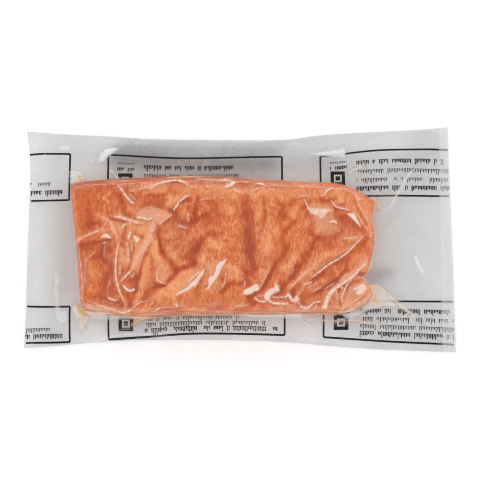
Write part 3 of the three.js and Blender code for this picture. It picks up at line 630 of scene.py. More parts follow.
    ([(36.1, -3.7), (35, -7), (32, -11), (30.5, -14), (28, -18), (25.8, -21.9)], 1.6, -0.85),
    ([(40.7, -5), (43.3, -5.2)], 2.1, -0.4),
    ([(39.2, 2.8), (44.8, 3.5)], 2.7, 0.4),
    ([(50.8, 7.2), (55, 4.6), (59.9, 1.2)], 1.9, -0.6),
    ([(50.3, 8.9), (52.6, 8.3)], 0.9, -0.5),
    ([(45.4, 17.3), (46.2, 17.8)], 1.2, -0.5),
    ([(49.8, 14.2), (50.6, 14.9)], 1.2, -0.4),
    ([(50.9, 17.7), (52.1, 20.8)], 1.1, -0.35),
    ([(49.1, 16.6), (47.9, 21.1)], 1.2, 0.3),
    ([(56.4, 16.3), (57, 12), (59, 9), (61.2, 4.7)], 1, -0.55),
    ([(56, 13.3), (57, 10), (59, 7), (61, 4), (63, 1), (64, -1.3)], 0.7, 0.4),
    ([(61.2, -2.8), (58, -7), (56.4, -9.3)], 1.6, -0.85),
    ([(54.2, -8.2), (52.6, -11), (51.9, -15)], 1.1, -0.7),
    ([(62, -7.7), (62, -9.3)], 1.2, -0.5),
    ([(57.6, -11.5), (59.4, -10.9)], 1.7, 0.2),
    ([(57.2, -20), (60.5, -20)], 0.9, -1),
    ([(60.8, -21.3), (62.2, -22.2)], 1.3, -0.4),
    ([(40.8, -19.8), (37, -22), (34.7, -23.5)], 1.1, -0.95),
    ([(47.3, -23.8), (44, -25), (41, -27), (39, -28.2), (35.7, -30)], 1.1, -1.25),
    ([(51.6, -16.6), (51, -19), (48, -22), (45.7, -24.2)], 1.2, -0.85),
    ([(50.3, -13), (47, -15)], 1.4, -0.6),
    ([(39.7, -18.8), (45, -17), (44, -22.4)], 2.4, -0.35),
    ([(46.2, -16.7), (47, -20.8)], 0.8, 0.4),
    ([(51.4, -9.1), (47, -11.8), (42.7, -14.4)], 0.6, -0.6),
    ([(45.4, -8.7), (41, -11.5), (37.6, -14.7)], 1.7, 0.4),
    ([(36.3, -16.7), (32, -20), (28, -23.4), (25.3, -26.6)], 1.4, 0.5),
    ([(27.6, -25.2), (26, -28), (25.5, -30.6)], 1.3, -0.6),
    ([(29.1, -34.3), (31, -32), (33.7, -29.8)], 1.6, -0.65),
    ([(29.3, -35.4), (32.9, -35.6)], 1.4, -0.3),
    ([(47.7, -27.3), (48, -28.2)], 0.9, -1.1),
    ([(50.3, -24.7), (50.4, -26.1)], 1, -0.9),
    ([(48.2, -33.6), (48.3, -34.8)], 1, -0.8),
    ([(52.7, -26.2), (55, -24.8), (58.3, -23.9)], 1, -0.8),
    ([(52.1, -27.7), (50.9, -31.8)], 1, -0.6),
    ([(53.3, -31.7), (55.3, -31.3)], 1.2, -0.6),
    ([(44.7, -30.2), (43.9, -36.2)], 1.6, -0.35),
    ([(-38, -37), (-28, -38)], 1.2, -0.7),
    ([(-15, -37.4), (-7, -37)], 1.0, -0.6),
    ([(-2, -37.6), (5, -37)], 1.0, -0.5),
    ([(10, -37), (14, -37)], 1.0, -0.6),
]

# Where the flesh is a clearer orange and where it is duller and pinker, below 0
FLESH_HUES = [
    ([(-78, 20), (-78, -2)], 4.0, 0.6),
    ([(-73, -10), (-72, -30)], 4.0, 0.55),
    ([(-56, -18), (-57, -34)], 2.0, 0.7),
    ([(-42, 22), (-30, 22), (-10, 20)], 3.0, 0.9),
    ([(-45, -14), (-44, -26), (-38, -34), (-20, -33), (0, -33)], 3.0, 0.8),
    ([(14, 20), (30, 20.6), (47, 20)], 2.4, 0.9),
    ([(52, 20), (61, 12), (64, 4)], 3.0, 0.9),
    ([(57, -7), (59, -11), (54, -14)], 4.0, 1.0),
    ([(32, -30), (38, -33)], 3.4, 0.9),
    ([(42, -20), (48, -16)], 2.4, 0.6),
    ([(-28, -6), (-33, 3)], 6.0, -0.6),
    ([(4, 5), (5, -14)], 4.0, -0.4),
    ([(42, 3), (54, 4)], 4.0, -0.5),
    ([(-40, 15), (-44, 9)], 4.0, -0.5),
    ([(-64, -12), (-62, -30)], 3.0, -0.3),
    ([(53, -28), (57, -30)], 4.0, -0.5),
]

# The film's haze takes some of the depth from the dark strokes of painted shade
DARK_STROKE_SHARE = 0.82
film_softened = [
    (path, reach, amount if amount > 0 else DARK_STROKE_SHARE * amount)
    for path, reach, amount in FLESH_TONE_AND_SHADE_STROKES
]

# Painted shade beside the folds, painted light under the fold crests and the flaps, and a darker back wall,
# added to the flesh's tone
SHADE_BESIDE_FOLDS = 0.62
LIGHT_UNDER_FOLD_CRESTS = 0.5
LIGHT_UNDER_FLAPS = 2
TONE_OF_BACK_WALL = 1.3

# The back wall's pink fades out towards the right end
PINK_ENDS_AT = 30
PINK_FADE = 24
PINK_LEAST = 0.1
LOWER_WALL_PINK_REACH = 9

flesh_shell = Shell("tone", "hue", "wall")
pinkness = np.where(fish_v > 0.5, np.clip((PINK_ENDS_AT - top_x) / PINK_FADE, PINK_LEAST, 1), 1)
back_wall = pinkness * (1 - wall_rise((1 - fish_v) * FISH_WIDTH, WALL_INSET["back"]) ** 2)
wall_band = pinkness * (1 - fish_rise(np.full(fish_u.shape, 0.5), fish_v) ** 2)
flesh_height = PARTING_HEIGHT + rise * (top_room + soft_form + FLESH_FOLLOWS * film_relief - FLESH_TO_FILM)
flesh_tone_and_shade = (
    soft_strokes(top_x, top_y, film_softened)
    - SHADE_BESIDE_FOLDS * fold_shade
    + LIGHT_UNDER_FOLD_CRESTS * fold_height
    + LIGHT_UNDER_FLAPS * flap_glare_and_haze
    - TONE_OF_BACK_WALL * back_wall
)
flesh_rows = flesh_shell.add(
    fish_top,
    flesh_height,
    tone=flesh_tone_and_shade,
    hue=soft_strokes(top_x, top_y, FLESH_HUES),
    wall=wall_band,
)
flesh_shell.grid(flesh_rows)

border_u, border_v = border(fish_across, fish_along)
border_columns = np.searchsorted(fish_across, border_u)
border_rows = np.searchsorted(fish_along, border_v)
ring = flesh_rows[border_rows, border_columns]
lower_wall = Curve(FISH_LOWER_WALL)
for inset, height in lower_wall.at(np.linspace(0, 1, 13)[1:]):
    lower_plan = fish_plan.at(*inside(border_u, border_v, inset))
    lower = flesh_shell.add(lower_plan, height, wall=1 - inset / LOWER_WALL_PINK_REACH)
    flesh_shell.band(ring, lower)
    ring = lower
flesh_shell.faces.append(ring[::-1].tolist())
flesh = flesh_shell.piece("salmon_flesh")


class Value:
    """A number socket in a finish, so that sums of sockets read as sums."""

    def __init__(self, finish, socket):
        self.finish = finish
        self.socket = socket

    def maths(self, operation, other, swapped=False):
        values = (other, self) if swapped else (self, other)
        node = self.finish.add("ShaderNodeMath", {"operation": operation}, dict(enumerate(values)))
        return Value(self.finish, node.outputs[0])

    def __add__(self, other):
        return self.maths("ADD", other)

    __radd__ = __add__

    def __sub__(self, other):
        return self.maths("SUBTRACT", other)

    def __rsub__(self, other):
        return self.maths("SUBTRACT", other, swapped=True)

    def __mul__(self, other):
        return self.maths("MULTIPLY", other)

    __rmul__ = __mul__

    def __pow__(self, other):
        return self.maths("POWER", other)

    def held(self):
        """The value kept between 0 and 1."""
        return self.maths("MAXIMUM", 0).maths("MINIMUM", 1)


class NodeTree:
    """A tree of nodes with one way to add any node: its type, settings and inputs."""

    def __init__(self, tree):
        self.tree = tree
        self.tree.nodes.clear()

    def add(self, kind, settings=None, inputs=None):
        node = self.tree.nodes.new(kind)
        for name, setting in (settings or {}).items():
            if name == "stops":
                ramp = node.color_ramp
                while len(ramp.elements) < len(setting):
                    ramp.elements.new(1)
                for element, (place, colour) in zip(ramp.elements, setting):
                    element.position = place
                    element.color = colour
            else:
                setattr(node, name, setting)
        for name, value in (inputs or {}).items():
            if isinstance(value, Value):
                self.tree.links.new(value.socket, node.inputs[name])
            elif isinstance(value, bpy.types.NodeSocket):
                self.tree.links.new(value, node.inputs[name])
            else:
                node.inputs[name].default_value = value
        return node


class Finish(NodeTree):
    """A material's nodes, with short ways for the common ones."""

    def __init__(self, name):
        self.material = bpy.data.materials.new(name)
        self.material.use_nodes = True
        super().__init__(self.material.node_tree)

    def noted(self, name):
        node = self.add("ShaderNodeAttribute", {"attribute_name": name})
        return Value(self, node.outputs["Fac"])

    def noise(self, scale, detail=2, stretch=(1, 1, 1), turn=0):
        """Noise over the piece, with scale in lumps a metre, drawn out along an axis."""
        place = self.add("ShaderNodeTexCoord").outputs["Object"]
        mapping = self.add(
            "ShaderNodeMapping", inputs={"Vector": place, "Scale": stretch, "Rotation": (0, 0, turn)}
        )
        node = self.add(
            "ShaderNodeTexNoise", inputs={"Vector": mapping.outputs[0], "Scale": scale, "Detail": detail}
        )
        return Value(self, node.outputs["Fac"])

    def ramp(self, value, stops):
        return self.add("ShaderNodeValToRGB", {"stops": stops}, {"Fac": value}).outputs["Color"]

    def blend(self, share, first, second):
        """One colour over another by a share, which may vary over the surface."""
        settings = {"data_type": "RGBA"}
        return self.add("ShaderNodeMix", settings, {0: share, 6: first, 7: second}).outputs[2]

    def bump(self, height, depth):
        settings = {"Height": height, "Distance": depth, "Strength": 1}
        return self.add("ShaderNodeBump", inputs=settings).outputs[0]

    def surface(self, inputs):
        return self.add("ShaderNodeBsdfPrincipled", inputs=inputs).outputs[0]

    def mix(self, share, first, second):
        return self.add("ShaderNodeMixShader", inputs={0: share, 1: first, 2: second}).outputs[0]

    def shown(self, shader):
        self.add("ShaderNodeOutputMaterial", inputs={"Surface": shader})
        return self.material


def colour(red, green, blue):
    """A colour as the eye reads it, 0 to 255, as the light that Blender works with."""
    light = [
        part / 12.92 if part <= 0.04045 else ((part + 0.055) / 1.055) ** 2.4
        for part in (red / 255, green / 255, blue / 255)
    ]
    return (*light, 1)


FLESH_DARK = colour(177, 60, 4)
FLESH_DEEP = colour(202, 83, 19)
FLESH_MID = colour(222, 110, 48)
FLESH_PALE = colour(254, 172, 116)
FLESH_ORANGE = colour(226, 120, 48)
FLESH_DULL = colour(192, 104, 68)
FAT_PALE = colour(230, 190, 164)
WALL_PINK = colour(168, 98, 78)

finish = Finish("raw salmon")
wall = finish.noted("wall").held()
hue = finish.noted("hue")
mottle = finish.noise(300, 4)
grain = finish.noise(1500, 2)
fibres = finish.noise(800, 3, stretch=(1, 0.4, 1), turn=-0.35)
patches = finish.noise(60, 2)
speckle = finish.noise(2400, 1)
unevenness = 0.35 * (mottle - 0.5) + 0.5 * (grain - 0.5) + 1.0 * (fibres - 0.5) + 0.25 * (patches - 0.5)
# The noted tone holds painted shade and painted light as well as the flesh's own tone, so the ramp's dark end
# also stands for shade and its pale end for light
tone = 0.66 + 0.66 * finish.noted("tone") + unevenness + 0.6 * (speckle - 0.5)
stops = [(0.0, FLESH_DARK), (0.3, FLESH_DEEP), (0.56, FLESH_MID), (1.0, FLESH_PALE)]
flesh_colour = finish.ramp(tone.held(), stops)
flesh_colour = finish.blend((0.42 * hue).held(), flesh_colour, FLESH_ORANGE)
flesh_colour = finish.blend((-0.5 * hue).held(), flesh_colour, FLESH_DULL)
streaks = finish.noise(600, 3, stretch=(0.12, 1, 1), turn=0.06)
flesh_colour = finish.blend(0.6 * wall, flesh_colour, WALL_PINK)
fat = (wall * (streaks - 0.47) * 6).held()
flesh_colour = finish.blend(fat, flesh_colour, FAT_PALE)
surface = finish.surface(
    {
        "Base Color": flesh_colour,
        "Roughness": 0.5,
        "Specular IOR Level": 0.15,
        "Subsurface Weight": 0.2,
        "Subsurface Radius": (1.0, 0.35, 0.2),
        "Subsurface Scale": 0.002,
        "Normal": finish.bump(mottle * 0.6 + grain * 0.4, 0.0003),
    }
)
flesh.data.materials.append(finish.shown(surface))
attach(flesh, "root")
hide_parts("salmon_portion")


# The bag
# Two webs of thin clear film, sealed together round the fish. The top web is sucked
# down on the fish and stands up in folds; the lower web is flat under it.

POUCH_LENGTH = 211
POUCH_WIDTH = 112
RIGHT = POUCH_LENGTH / 2
BACK = POUCH_WIDTH / 2
POUCH_CORNERS = {
    "front_left": (-RIGHT + 0.5, -BACK + 1.7),
    "front_right": (RIGHT, -BACK),
    "back_right": (RIGHT - 2.2, BACK),
    "back_left": (-RIGHT, BACK - 2.1),
}
POUCH_FRONT = [(-63, -50.6), (-34, -49.9), (0, -50.1), (25, -51.2), (44, -52.8), (68, -54.5)]
POUCH_RIGHT = [(RIGHT - 0.9, 0)]
POUCH_BACK = [(-64.5, 51.9), (-44.5, 50.6), (-20, 50.2), (20, 50.1), (45, 52.9)]
POUCH_LEFT = [(-RIGHT + 1.0, -20), (-RIGHT + 1.6, 20), (-RIGHT + 1.6, 39)]
SKIRT_EDGE_LIFT = 0.5
SKIRT_JOIN_LIFT = 5.4
SKIRT_DROOP = 1.8
CORNER_CURL = 2.6
CORNER_CURL_REACH = 20
FILM_RAISE = 0.1
LOWER_WEB_RAISE = 0.1
WEB_GAP = 0.3
SKIRT_FLAP_FOOT = 1.2
FISH_REFLECTION_REACH = 7
FILLET_REACH = 2.6
FILLET_STEPS = [0.3, 0.7, 1.2, 1.8]
TRAY_REACH = 0.3
TRAY_WALL = [(0, 3.6), (1.5, 1.7), (3.6, 0.45), (6.5, 0.05)]
TOP_WEB_RINGS = 54
LOWER_WEB_RINGS = 8

pouch_plan = Patch(POUCH_CORNERS, POUCH_FRONT, POUCH_RIGHT, POUCH_BACK, POUCH_LEFT)

# Folds of the loose skirt round the fish: points, width, height and how white the crest is, a painted
# highlight with the film's haze
SKIRT_FOLDS = [
    ([(52.5, 31.7), (57, 34.4), (61.9, 35.7)], 1.0, 0.5, 0.5),
    ([(72.6, 13.4), (76, 19), (82.7, 30.4), (86.7, 34.4)], 1.3, 0.9, 0.55),
    ([(65.4, 17.8), (69, 15), (73, 12.4)], 1.5, 0.8, 0.5),
    ([(-64, 34.6), (-61, 30.6), (-57, 27.4)], 1.1, 0.8, 0.5),
    ([(66.4, -22.6), (70.4, -26.6), (78.3, -33.4), (88.4, -41.4)], 1.7, 1.0, 0.6),
    ([(38, -40.6), (46, -41.2), (55, -40.8), (64, -42.6), (71, -43.6)], 1.0, 0.5, 0.35),
    ([(30.6, -41.4), (34.4, -43.4)], 1.2, 0.4, 0.5),
    ([(66.4, -1.4), (70.3, -1.6)], 1.4, 0.3, 0.3),
    ([(-83.6, 33.6), (-82.6, 29), (-82.2, 25.6)], 1.4, 1.0, 0.5),
    ([(-81, 33.4), (-78.4, 31), (-77, 27.6)], 1.2, 1.0, 0.5),
    ([(-80.6, -33.4), (-78.4, -35.8), (-76.2, -38.6), (-75.9, -44.6)], 1.6, 0.9, 0.45),
    ([(-90.6, 45.8), (-88, 44.8), (-85, 43.8)], 1.6, 0.5, 0.6),
    ([(-73, 40.4), (-72.6, 37.8)], 1.5, 0.5, 0.7),
    ([(-69.3, 38), (-68.4, 41.6), (-65.4, 44.2)], 1.7, 0.9, 0.85),
    ([(-66, 43.6), (-60.4, 45)], 2.6, 0.6, 0.6),
    ([(-89.4, -14), (-89.3, -26), (-89, -37)], 3.4, 0.7, 0.4),
    ([(-104, 50.2), (-64.5, 48.2), (-44.5, 46.9), (-20, 46.5), (20, 46.4), (45, 49.2), (103, 52.3)], 1.1,
     0.12, 0.22),
    ([(-30, 43.8), (0, 43.4), (20, 43.6), (45, 46.2), (62, 47.6)], 1.0, 0.1, 0.16),
    ([(79.6, -15.8), (80.2, -16.6)], 1.3, 0.3, 0.5),
]

# Flaps, frosted strips and painted glares of the skirt: corners, rise and paleness
SKIRT_FLAPS = [
    ([(34, 42.5), (52.2, 45), (52.2, 40.6), (43, 41.2)], 0.4, 0.8),
    ([(66, 18.6), (73, 13), (84, 31), (78, 31), (70, 22)], 0.5, 0.14),
    ([(-89.4, -35.4), (-84.6, -35.6), (-83.6, -40), (-86.6, -43), (-89.4, -40)], 0.5, 0.5),
    ([(62.4, -23.4), (66.5, -23.4), (71, -28), (77, -34.4), (70, -33.8), (60, -36.8), (61.6, -30)], 0.5, 0.6),
    ([(62, -17), (66, -15), (66.6, 6), (64.8, 6), (64.4, -6)], 0.1, 0.25),
    ([(-83.8, 33.8), (-80.9, 33.2), (-77.3, 30), (-76.6, 25.6), (-82.4, 25.6)], 0.8, 0.55),
    ([(-80.4, -33.4), (-76.4, -36), (-73.6, -39.4), (-76.2, -45), (-78.2, -44), (-77.6, -39),
     (-80.6, -36)], 0.5, 0.5),
    ([(64.8, 20), (68.6, 17.8), (68.4, 14), (66, 14)], 0.6, 0.35),
    ([(98.7, -60), (98.7, 60), (106, 60), (106, -60)], 0, 0.34),
    ([(85.2, -8.6), (86.4, -13), (89.2, -17.8), (90.8, -17), (88.6, -13), (86.8, -8.8)], 0.3, 0.85),
    ([(-82, -34), (-60, -37), (-44, -37.4), (-43, -40), (-62, -40.8), (-80, -39.8)], 0.2, 0.4),
    ([(-69.6, 38), (-68.8, 42), (-66.4, 44.8), (-60, 45), (-62.4, 43), (-66, 40.2), (-67.2, 38)], 0.3, 0.9),
    ([(-91, 46.4), (-84.6, 46.8), (-83.6, 44.8), (-88, 44.8)], 0.2, 0.65),
    ([(2, -37), (24, -37.2), (30, -38), (30, -40), (4, -39.6)], 0.1, 0.45),
    ([(50, -38), (58, -36.8), (64, -31), (67, -29.6), (64, -35), (58, -38.8), (52, -40.4)], 0.2, 0.6),
    ([(78, 12), (92, 4), (94, -2), (84, 2)], 0.2, 0.14),
    ([(70, 4), (80, 10), (86, 14), (74, 14)], 0.2, 0.12),
    ([(-106, 47.6), (-50, 46.6), (0, 47.2), (60, 49.6), (106, 50.6), (106, 60), (-106, 60)], 0, 0.1),
]

# Pale brown juice of the fish, caught in the skirt's folds: points, reach and strength
JUICE = [
    ([(52.5, 31.7), (57, 34.4), (61.9, 35.7)], 1.0, 0.6),
    ([(67, -23.2), (70.4, -26.6), (78.3, -33.4), (89, -42)], 1.3, 0.5),
    ([(76, 19), (82.7, 30.4)], 0.8, 0.3),
    ([(-78.8, 30.4), (-78.3, 26.6)], 1.6, 0.9),
    ([(-81.4, 27), (-79, 25.6)], 1.2, 0.7),
    ([(-64, 34.6), (-61, 30.6), (-57, 27.4)], 0.8, 0.4),
    ([(-79.6, -34.6), (-77, -38.4), (-76.4, -43.6)], 1.8, 0.75),
    ([(-80, -44.8), (-77.6, -46.4)], 1.2, 0.2),
    ([(-77.4, -36.6), (-73.5, -38.7)], 1.3, 0.8),
    ([(-52, -43), (-49, -41), (-45, -39.8), (-40, -39.6)], 0.9, 0.8),
    ([(65.6, 19.4), (67.4, 17.4), (67.8, 14.6)], 1.5, 0.9),
    ([(40, -41), (48, -42), (58, -41.6), (66, -43)], 1.1, 0.5),
    ([(63, -30), (66, -32), (70, -32.6)], 2.4, 0.4),
    ([(63.4, -23.6), (65.6, -27), (66, -31)], 1.6, 0.6),
    ([(-46, -40.8), (-50, -42.4), (-56, -44)], 1.3, 0.35),
]

# Painted reflection and painted shade on the skirt: where it is lighter and where it is darker, below 0
SKIRT_SHADES = [
    ([(-101, 44), (-100, 0), (-101, -46)], 7.0, 0.55),
    ([(-60, 40), (-20, 37), (14, 37)], 6.5, -1.0),
    ([(28, 38), (43, 38)], 6, -0.4),
    ([(-60, 47), (-20, 46), (20, 46)], 3.0, -0.35),
    ([(-86, 20), (-86, -24)], 5.0, -0.2),
    ([(-40, -46), (0, -45.6), (30, -46.4), (60, -50)], 5.0, 0.6),
    ([(-80, -47), (-68, -46)], 6.0, 0.6),
    ([(100, 36), (101, -40)], 4.0, 0.5),
    ([(84, 10), (92, -10), (88, -24)], 8.0, 0.15),
    ([(60, 36), (92, 38)], 7.0, -0.12),
    ([(66, -19.6), (71, -17)], 3.6, -0.7),
    ([(46, 48), (80, 50)], 4.0, 0.4),
    ([(-100, 50), (-60, 49)], 3.6, 0.35),
]


def skirt_wave(x, y, part):
    swell = np.sin(x / 9.5 + 0.8) * 0.45 + np.sin(x / 21 - y / 13) * 0.4 + np.sin(y / 8 + 1.3) * 0.25
    return swell * np.sin(np.pi * part)


def corner_curl(x, y):
    curled = [POUCH_CORNERS[name] for name in ("back_left", "front_left", "back_right")]
    lifts = [
        CORNER_CURL * np.clip(1 - np.hypot(x - cx, y - cy) / CORNER_CURL_REACH, 0, None) ** 2
        for cx, cy in curled
    ]
    return np.max(lifts, axis=0)


def skirt_height(x, y, part):
    droop = (SKIRT_JOIN_LIFT - SKIRT_EDGE_LIFT) * part ** SKIRT_DROOP
    return np.maximum(0.1, SKIRT_JOIN_LIFT - droop + skirt_wave(x, y, part) + corner_curl(x, y))


bag_shell = Shell("frost", "white", "juice", "shade", "warmth", "wall", "tight")
film_height = PARTING_HEIGHT + rise * (top_room + soft_form + film_relief)
over_fish = bag_shell.add(
    fish_top,
    film_height + FILM_RAISE,
    white=fold_glint_and_haze * np.clip(4 * rise, 0, 1),
    wall=wall_band,
    frost=0.012,
    tight=1,
)
bag_shell.grid(over_fish)

outline = fish_plan.at(border_u, border_v)
pouch_edge = pouch_plan.at(border_u, border_v)
reach_out = np.hypot(*(pouch_edge - outline).T)


def skirt_ring(share_out, distance, top_web, every=2):
    """One ring of a web of the skirt, as plan, height and notes.

    It lies a share of the way out to the pouch's edge, plus a distance, from the fish.
    """
    start, end, reach = outline[::every], pouch_edge[::every], reach_out[::every]
    part = share_out + (1 - share_out) * distance / reach
    plan = start + (end - start) * part[:, None]
    x, y = plan.T
    height = skirt_height(x, y, part) + LOWER_WEB_RAISE
    shade = soft_strokes(x, y, SKIRT_SHADES)
    # A painted pink reflection and shade of the fish on the skirt, strongest next to it
    warmth = np.exp(-part * reach / FISH_REFLECTION_REACH)
    if not top_web:
        # The lower web is more frosted and darker where the skirt has painted shade
        frost = 0.38 + 0.35 * np.clip(-shade, 0, 1)
        return plan, height, {"shade": shade, "warmth": warmth, "frost": frost}
    lift, white, _ = fold_relief(x, y, SKIRT_FOLDS)
    for corners, raised, pale in SKIRT_FLAPS:
        cover = flap_cover(x, y, corners, SKIRT_FLAP_FOOT)
        lift = lift + raised * cover
        white = np.maximum(white, pale * cover)
    height = height + WEB_GAP + lift * np.clip(8 * (1 - part), 0, 1)
    fillet = np.clip(1 - part * reach / FILLET_REACH, 0, None) ** 2
    height = height + (PARTING_HEIGHT + FILM_RAISE - height) * fillet
    juice = np.clip(soft_strokes(x, y, JUICE), 0, 1)
    notes = {"shade": shade, "warmth": warmth, "white": white, "juice": juice, "frost": 0.015}
    return plan, height, notes


ring = over_fish[border_rows, border_columns]
for distance in FILLET_STEPS:
    plan, height, notes = skirt_ring(0, distance, top_web=True, every=1)
    ring_above = bag_shell.add(plan, height, **notes)
    bag_shell.band(ring, ring_above)
    ring = ring_above
join = bag_shell.halving_band
for share_out in np.linspace(0, 1, TOP_WEB_RINGS + 1)[1:]:
    plan, height, notes = skirt_ring(share_out, FILLET_STEPS[-1], top_web=True)
    ring_above = bag_shell.add(plan, height, **notes)
    join(ring, ring_above)
    ring = ring_above
    join = bag_shell.band
lower_web_start = len(bag_shell.faces)
for share_out in np.linspace(1, 0, LOWER_WEB_RINGS + 1):
    plan, height, notes = skirt_ring(share_out, TRAY_REACH, top_web=False)
    ring_below = bag_shell.add(plan, height, **notes)
    bag_shell.band(ring, ring_below)
    ring = ring_below
tray_wall = Curve(TRAY_WALL)
for inset, height in tray_wall.at(np.linspace(0, 1, 8)):
    tray_plan = fish_plan.at(*inside(border_u[::2], border_v[::2], inset))
    ring_below = bag_shell.add(tray_plan, height, frost=0.1)
    bag_shell.band(ring, ring_below)
    ring = ring_below
bag_shell.faces.append(ring[::-1].tolist())
bag = bag_shell.piece("pouch_film")

FROST_DARK = colour(98, 98, 101)
FROST_MID = colour(165, 166, 168)
FROST_LIGHT = colour(211, 212, 214)
FROST_FISH_REFLECTION = colour(176, 146, 138)
FILM_HAZE_AND_GLINT_WHITE = colour(251, 219, 205)
FILM_HAZE_AND_GLOW_PEACH = colour(255, 190, 138)
SKIRT_HAZE_AND_GLINT_WHITE = colour(240, 242, 240)
JUICE_TAN = colour(226, 186, 138)

finish = Finish("clear film")
# The noted white is the film's haze and a painted highlight or glare on the folds and flaps
white = finish.noted("white").held()
juice = finish.noted("juice").held()
frost = finish.noted("frost").held()
warmth = finish.noted("warmth").held()
cloud = finish.noise(34, 2, stretch=(1, 0.4, 1), turn=0.3)
ripple = finish.noise(240, 3, stretch=(1, 0.5, 1), turn=-0.4)
# How light the skirt's frost is: its painted reflection and shade, with soft noise
shade = 0.5 + 0.5 * finish.noted("shade") + 0.5 * (cloud - 0.5) + 0.3 * (ripple - 0.5)
veil = finish.noise(500, 3)
lines_noise = finish.noise(420, 4, stretch=(0.16, 1, 1))
wall_lines = (finish.noted("wall") * (8 * (lines_noise - 0.52))).held()
tight = finish.noted("tight").held()
fine_ripple = finish.bump(ripple * (0.35 + 0.65 * tight), 0.0003)
frost_colour = finish.ramp(shade.held(), [(0, FROST_DARK), (0.5, FROST_MID), (1, FROST_LIGHT)])
# The painted reflection and shade of the fish tints the skirt's frost pink near it
frost_colour = finish.blend(0.6 * warmth, frost_colour, FROST_FISH_REFLECTION)
over_frost = (3 * white + 3 * wall_lines).held()
haze_and_glint_colour = finish.blend(white, FILM_HAZE_AND_GLOW_PEACH, FILM_HAZE_AND_GLINT_WHITE)
haze_and_glint_colour = finish.blend(tight, SKIRT_HAZE_AND_GLINT_WHITE, haze_and_glint_colour)
film_colour = finish.blend(over_frost, frost_colour, haze_and_glint_colour)
film_colour = finish.blend(juice, film_colour, JUICE_TAN)
clear = finish.add("ShaderNodeBsdfTransparent").outputs[0]
gloss = finish.surface(
    {"Base Color": (1, 1, 1, 1), "Metallic": 1, "Roughness": 0.08, "Normal": fine_ripple}
)
milky = finish.surface({"Base Color": film_colour, "Roughness": 0.35, "Normal": fine_ripple})
turned = Value(finish, finish.add("ShaderNodeLayerWeight").outputs["Facing"])
mirror = 0.018 + 0.02 * tight + (0.9 * turned ** 5).maths("MINIMUM", 0.1) * (1 - 0.75 * tight)
haze = (white * (1 + 1.1 * tight * (veil - 0.5)) + frost + 0.55 * juice + wall_lines).held()
film = finish.mix(mirror, finish.mix(haze, clear, milky), gloss)
bag.data.materials.append(finish.shown(film))
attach(bag, "root")
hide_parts("vacuum_pouch")


# The print
# Black ink on the lower web: a frame for each panel, rows of plain bars where the small
# print would be and a plain square mark. It lies between the two webs.

PANEL_PITCH = 104.8
PANEL_WIDTH = 85.8
BACK_ROW_LEFT = -64.9
FRONT_ROW_LEFT = -63.9
FRAME_LINE = 0.95
INK_RAISE = 0.05
MARK_CENTRE = (8.5, 0.57)
MARK_HALF = 3.6
MARK_LINE = 1.7
MARK_DOT = 1.1
PRINT_STEP = 1.5
FRAME_STEP = 1
FRAME_SIDE_POINTS = 25
MARK_LEVEL_POINTS = 8
MARK_UPRIGHT_POINTS = 6

# Rows inside a panel: start and end from its left side, share of its height, the height
# of the bars and their thickness
PRINT_ROWS = [
    (17.9, 61.5, 0.25, 2.2, 0.52),
    (17.9, 64.0, 0.46, 2.0, 0.36),
    (17.9, 76.0, 0.655, 2.0, 0.36),
    (17.9, 82.0, 0.83, 2.2, 0.52),
    (4.8, 12.6, 0.19, 0.9, 0.3),
    (4.8, 12.6, 0.32, 1.8, 0.52),
]

# The lines in plan that the two rows of panels hang between
BACK_ROW_TOP = [
    (-106, 42.5), (-84, 42.5), (-65, 41.9), (-30, 40.1), (20, 41), (40, 41.2), (70, 44.3), (106, 45),
]
BACK_ROW_BOTTOM = [(-106, 19.4), (-83, 18.8), (0, 19.4), (65, 20.8), (106, 21.7)]
FRONT_ROW_TOP = [(-106, -33.3), (-82, -34), (0, -32.6), (64, -31.7), (106, -31)]
FRONT_ROW_BOTTOM = [
    (-106, -51.8), (-82, -51), (-64, -49.8), (-44, -48.5), (-19, -47), (23, -47.8), (41, -48.8), (73, -51),
    (106, -52.3),
]


def row_place(top, bottom):
    """A function that finds a row's height in plan at x, for a share of the row's height."""
    top, bottom = Curve(top).dense.T, Curve(bottom).dense.T
    return lambda x, share: np.interp(x, *top) * (1 - share) + np.interp(x, *bottom) * share


back_row = row_place(BACK_ROW_TOP, BACK_ROW_BOTTOM)
front_row = row_place(FRONT_ROW_TOP, FRONT_ROW_BOTTOM)


def print_path(place, left, start, end, share, step):
    """A run of plan points along a panel, at a share of its height from its upper line."""
    x = np.linspace(start, end, max(2, int(abs(end - start) / step) + 1)) + left
    return np.stack([x, place(x, share)], axis=-1)


def ribbon(path, width):
    """The corners and faces of a flat line that follows a path."""
    run = np.gradient(path, axis=0)
    run /= np.hypot(*run.T)[:, None]
    side = np.stack([-run[:, 1], run[:, 0]], axis=-1) * width / 2
    corners = np.concatenate([path - side, path + side])
    count = len(path)
    faces = [(at, at + 1, count + at + 1, count + at) for at in range(count - 1)]
    return corners, faces


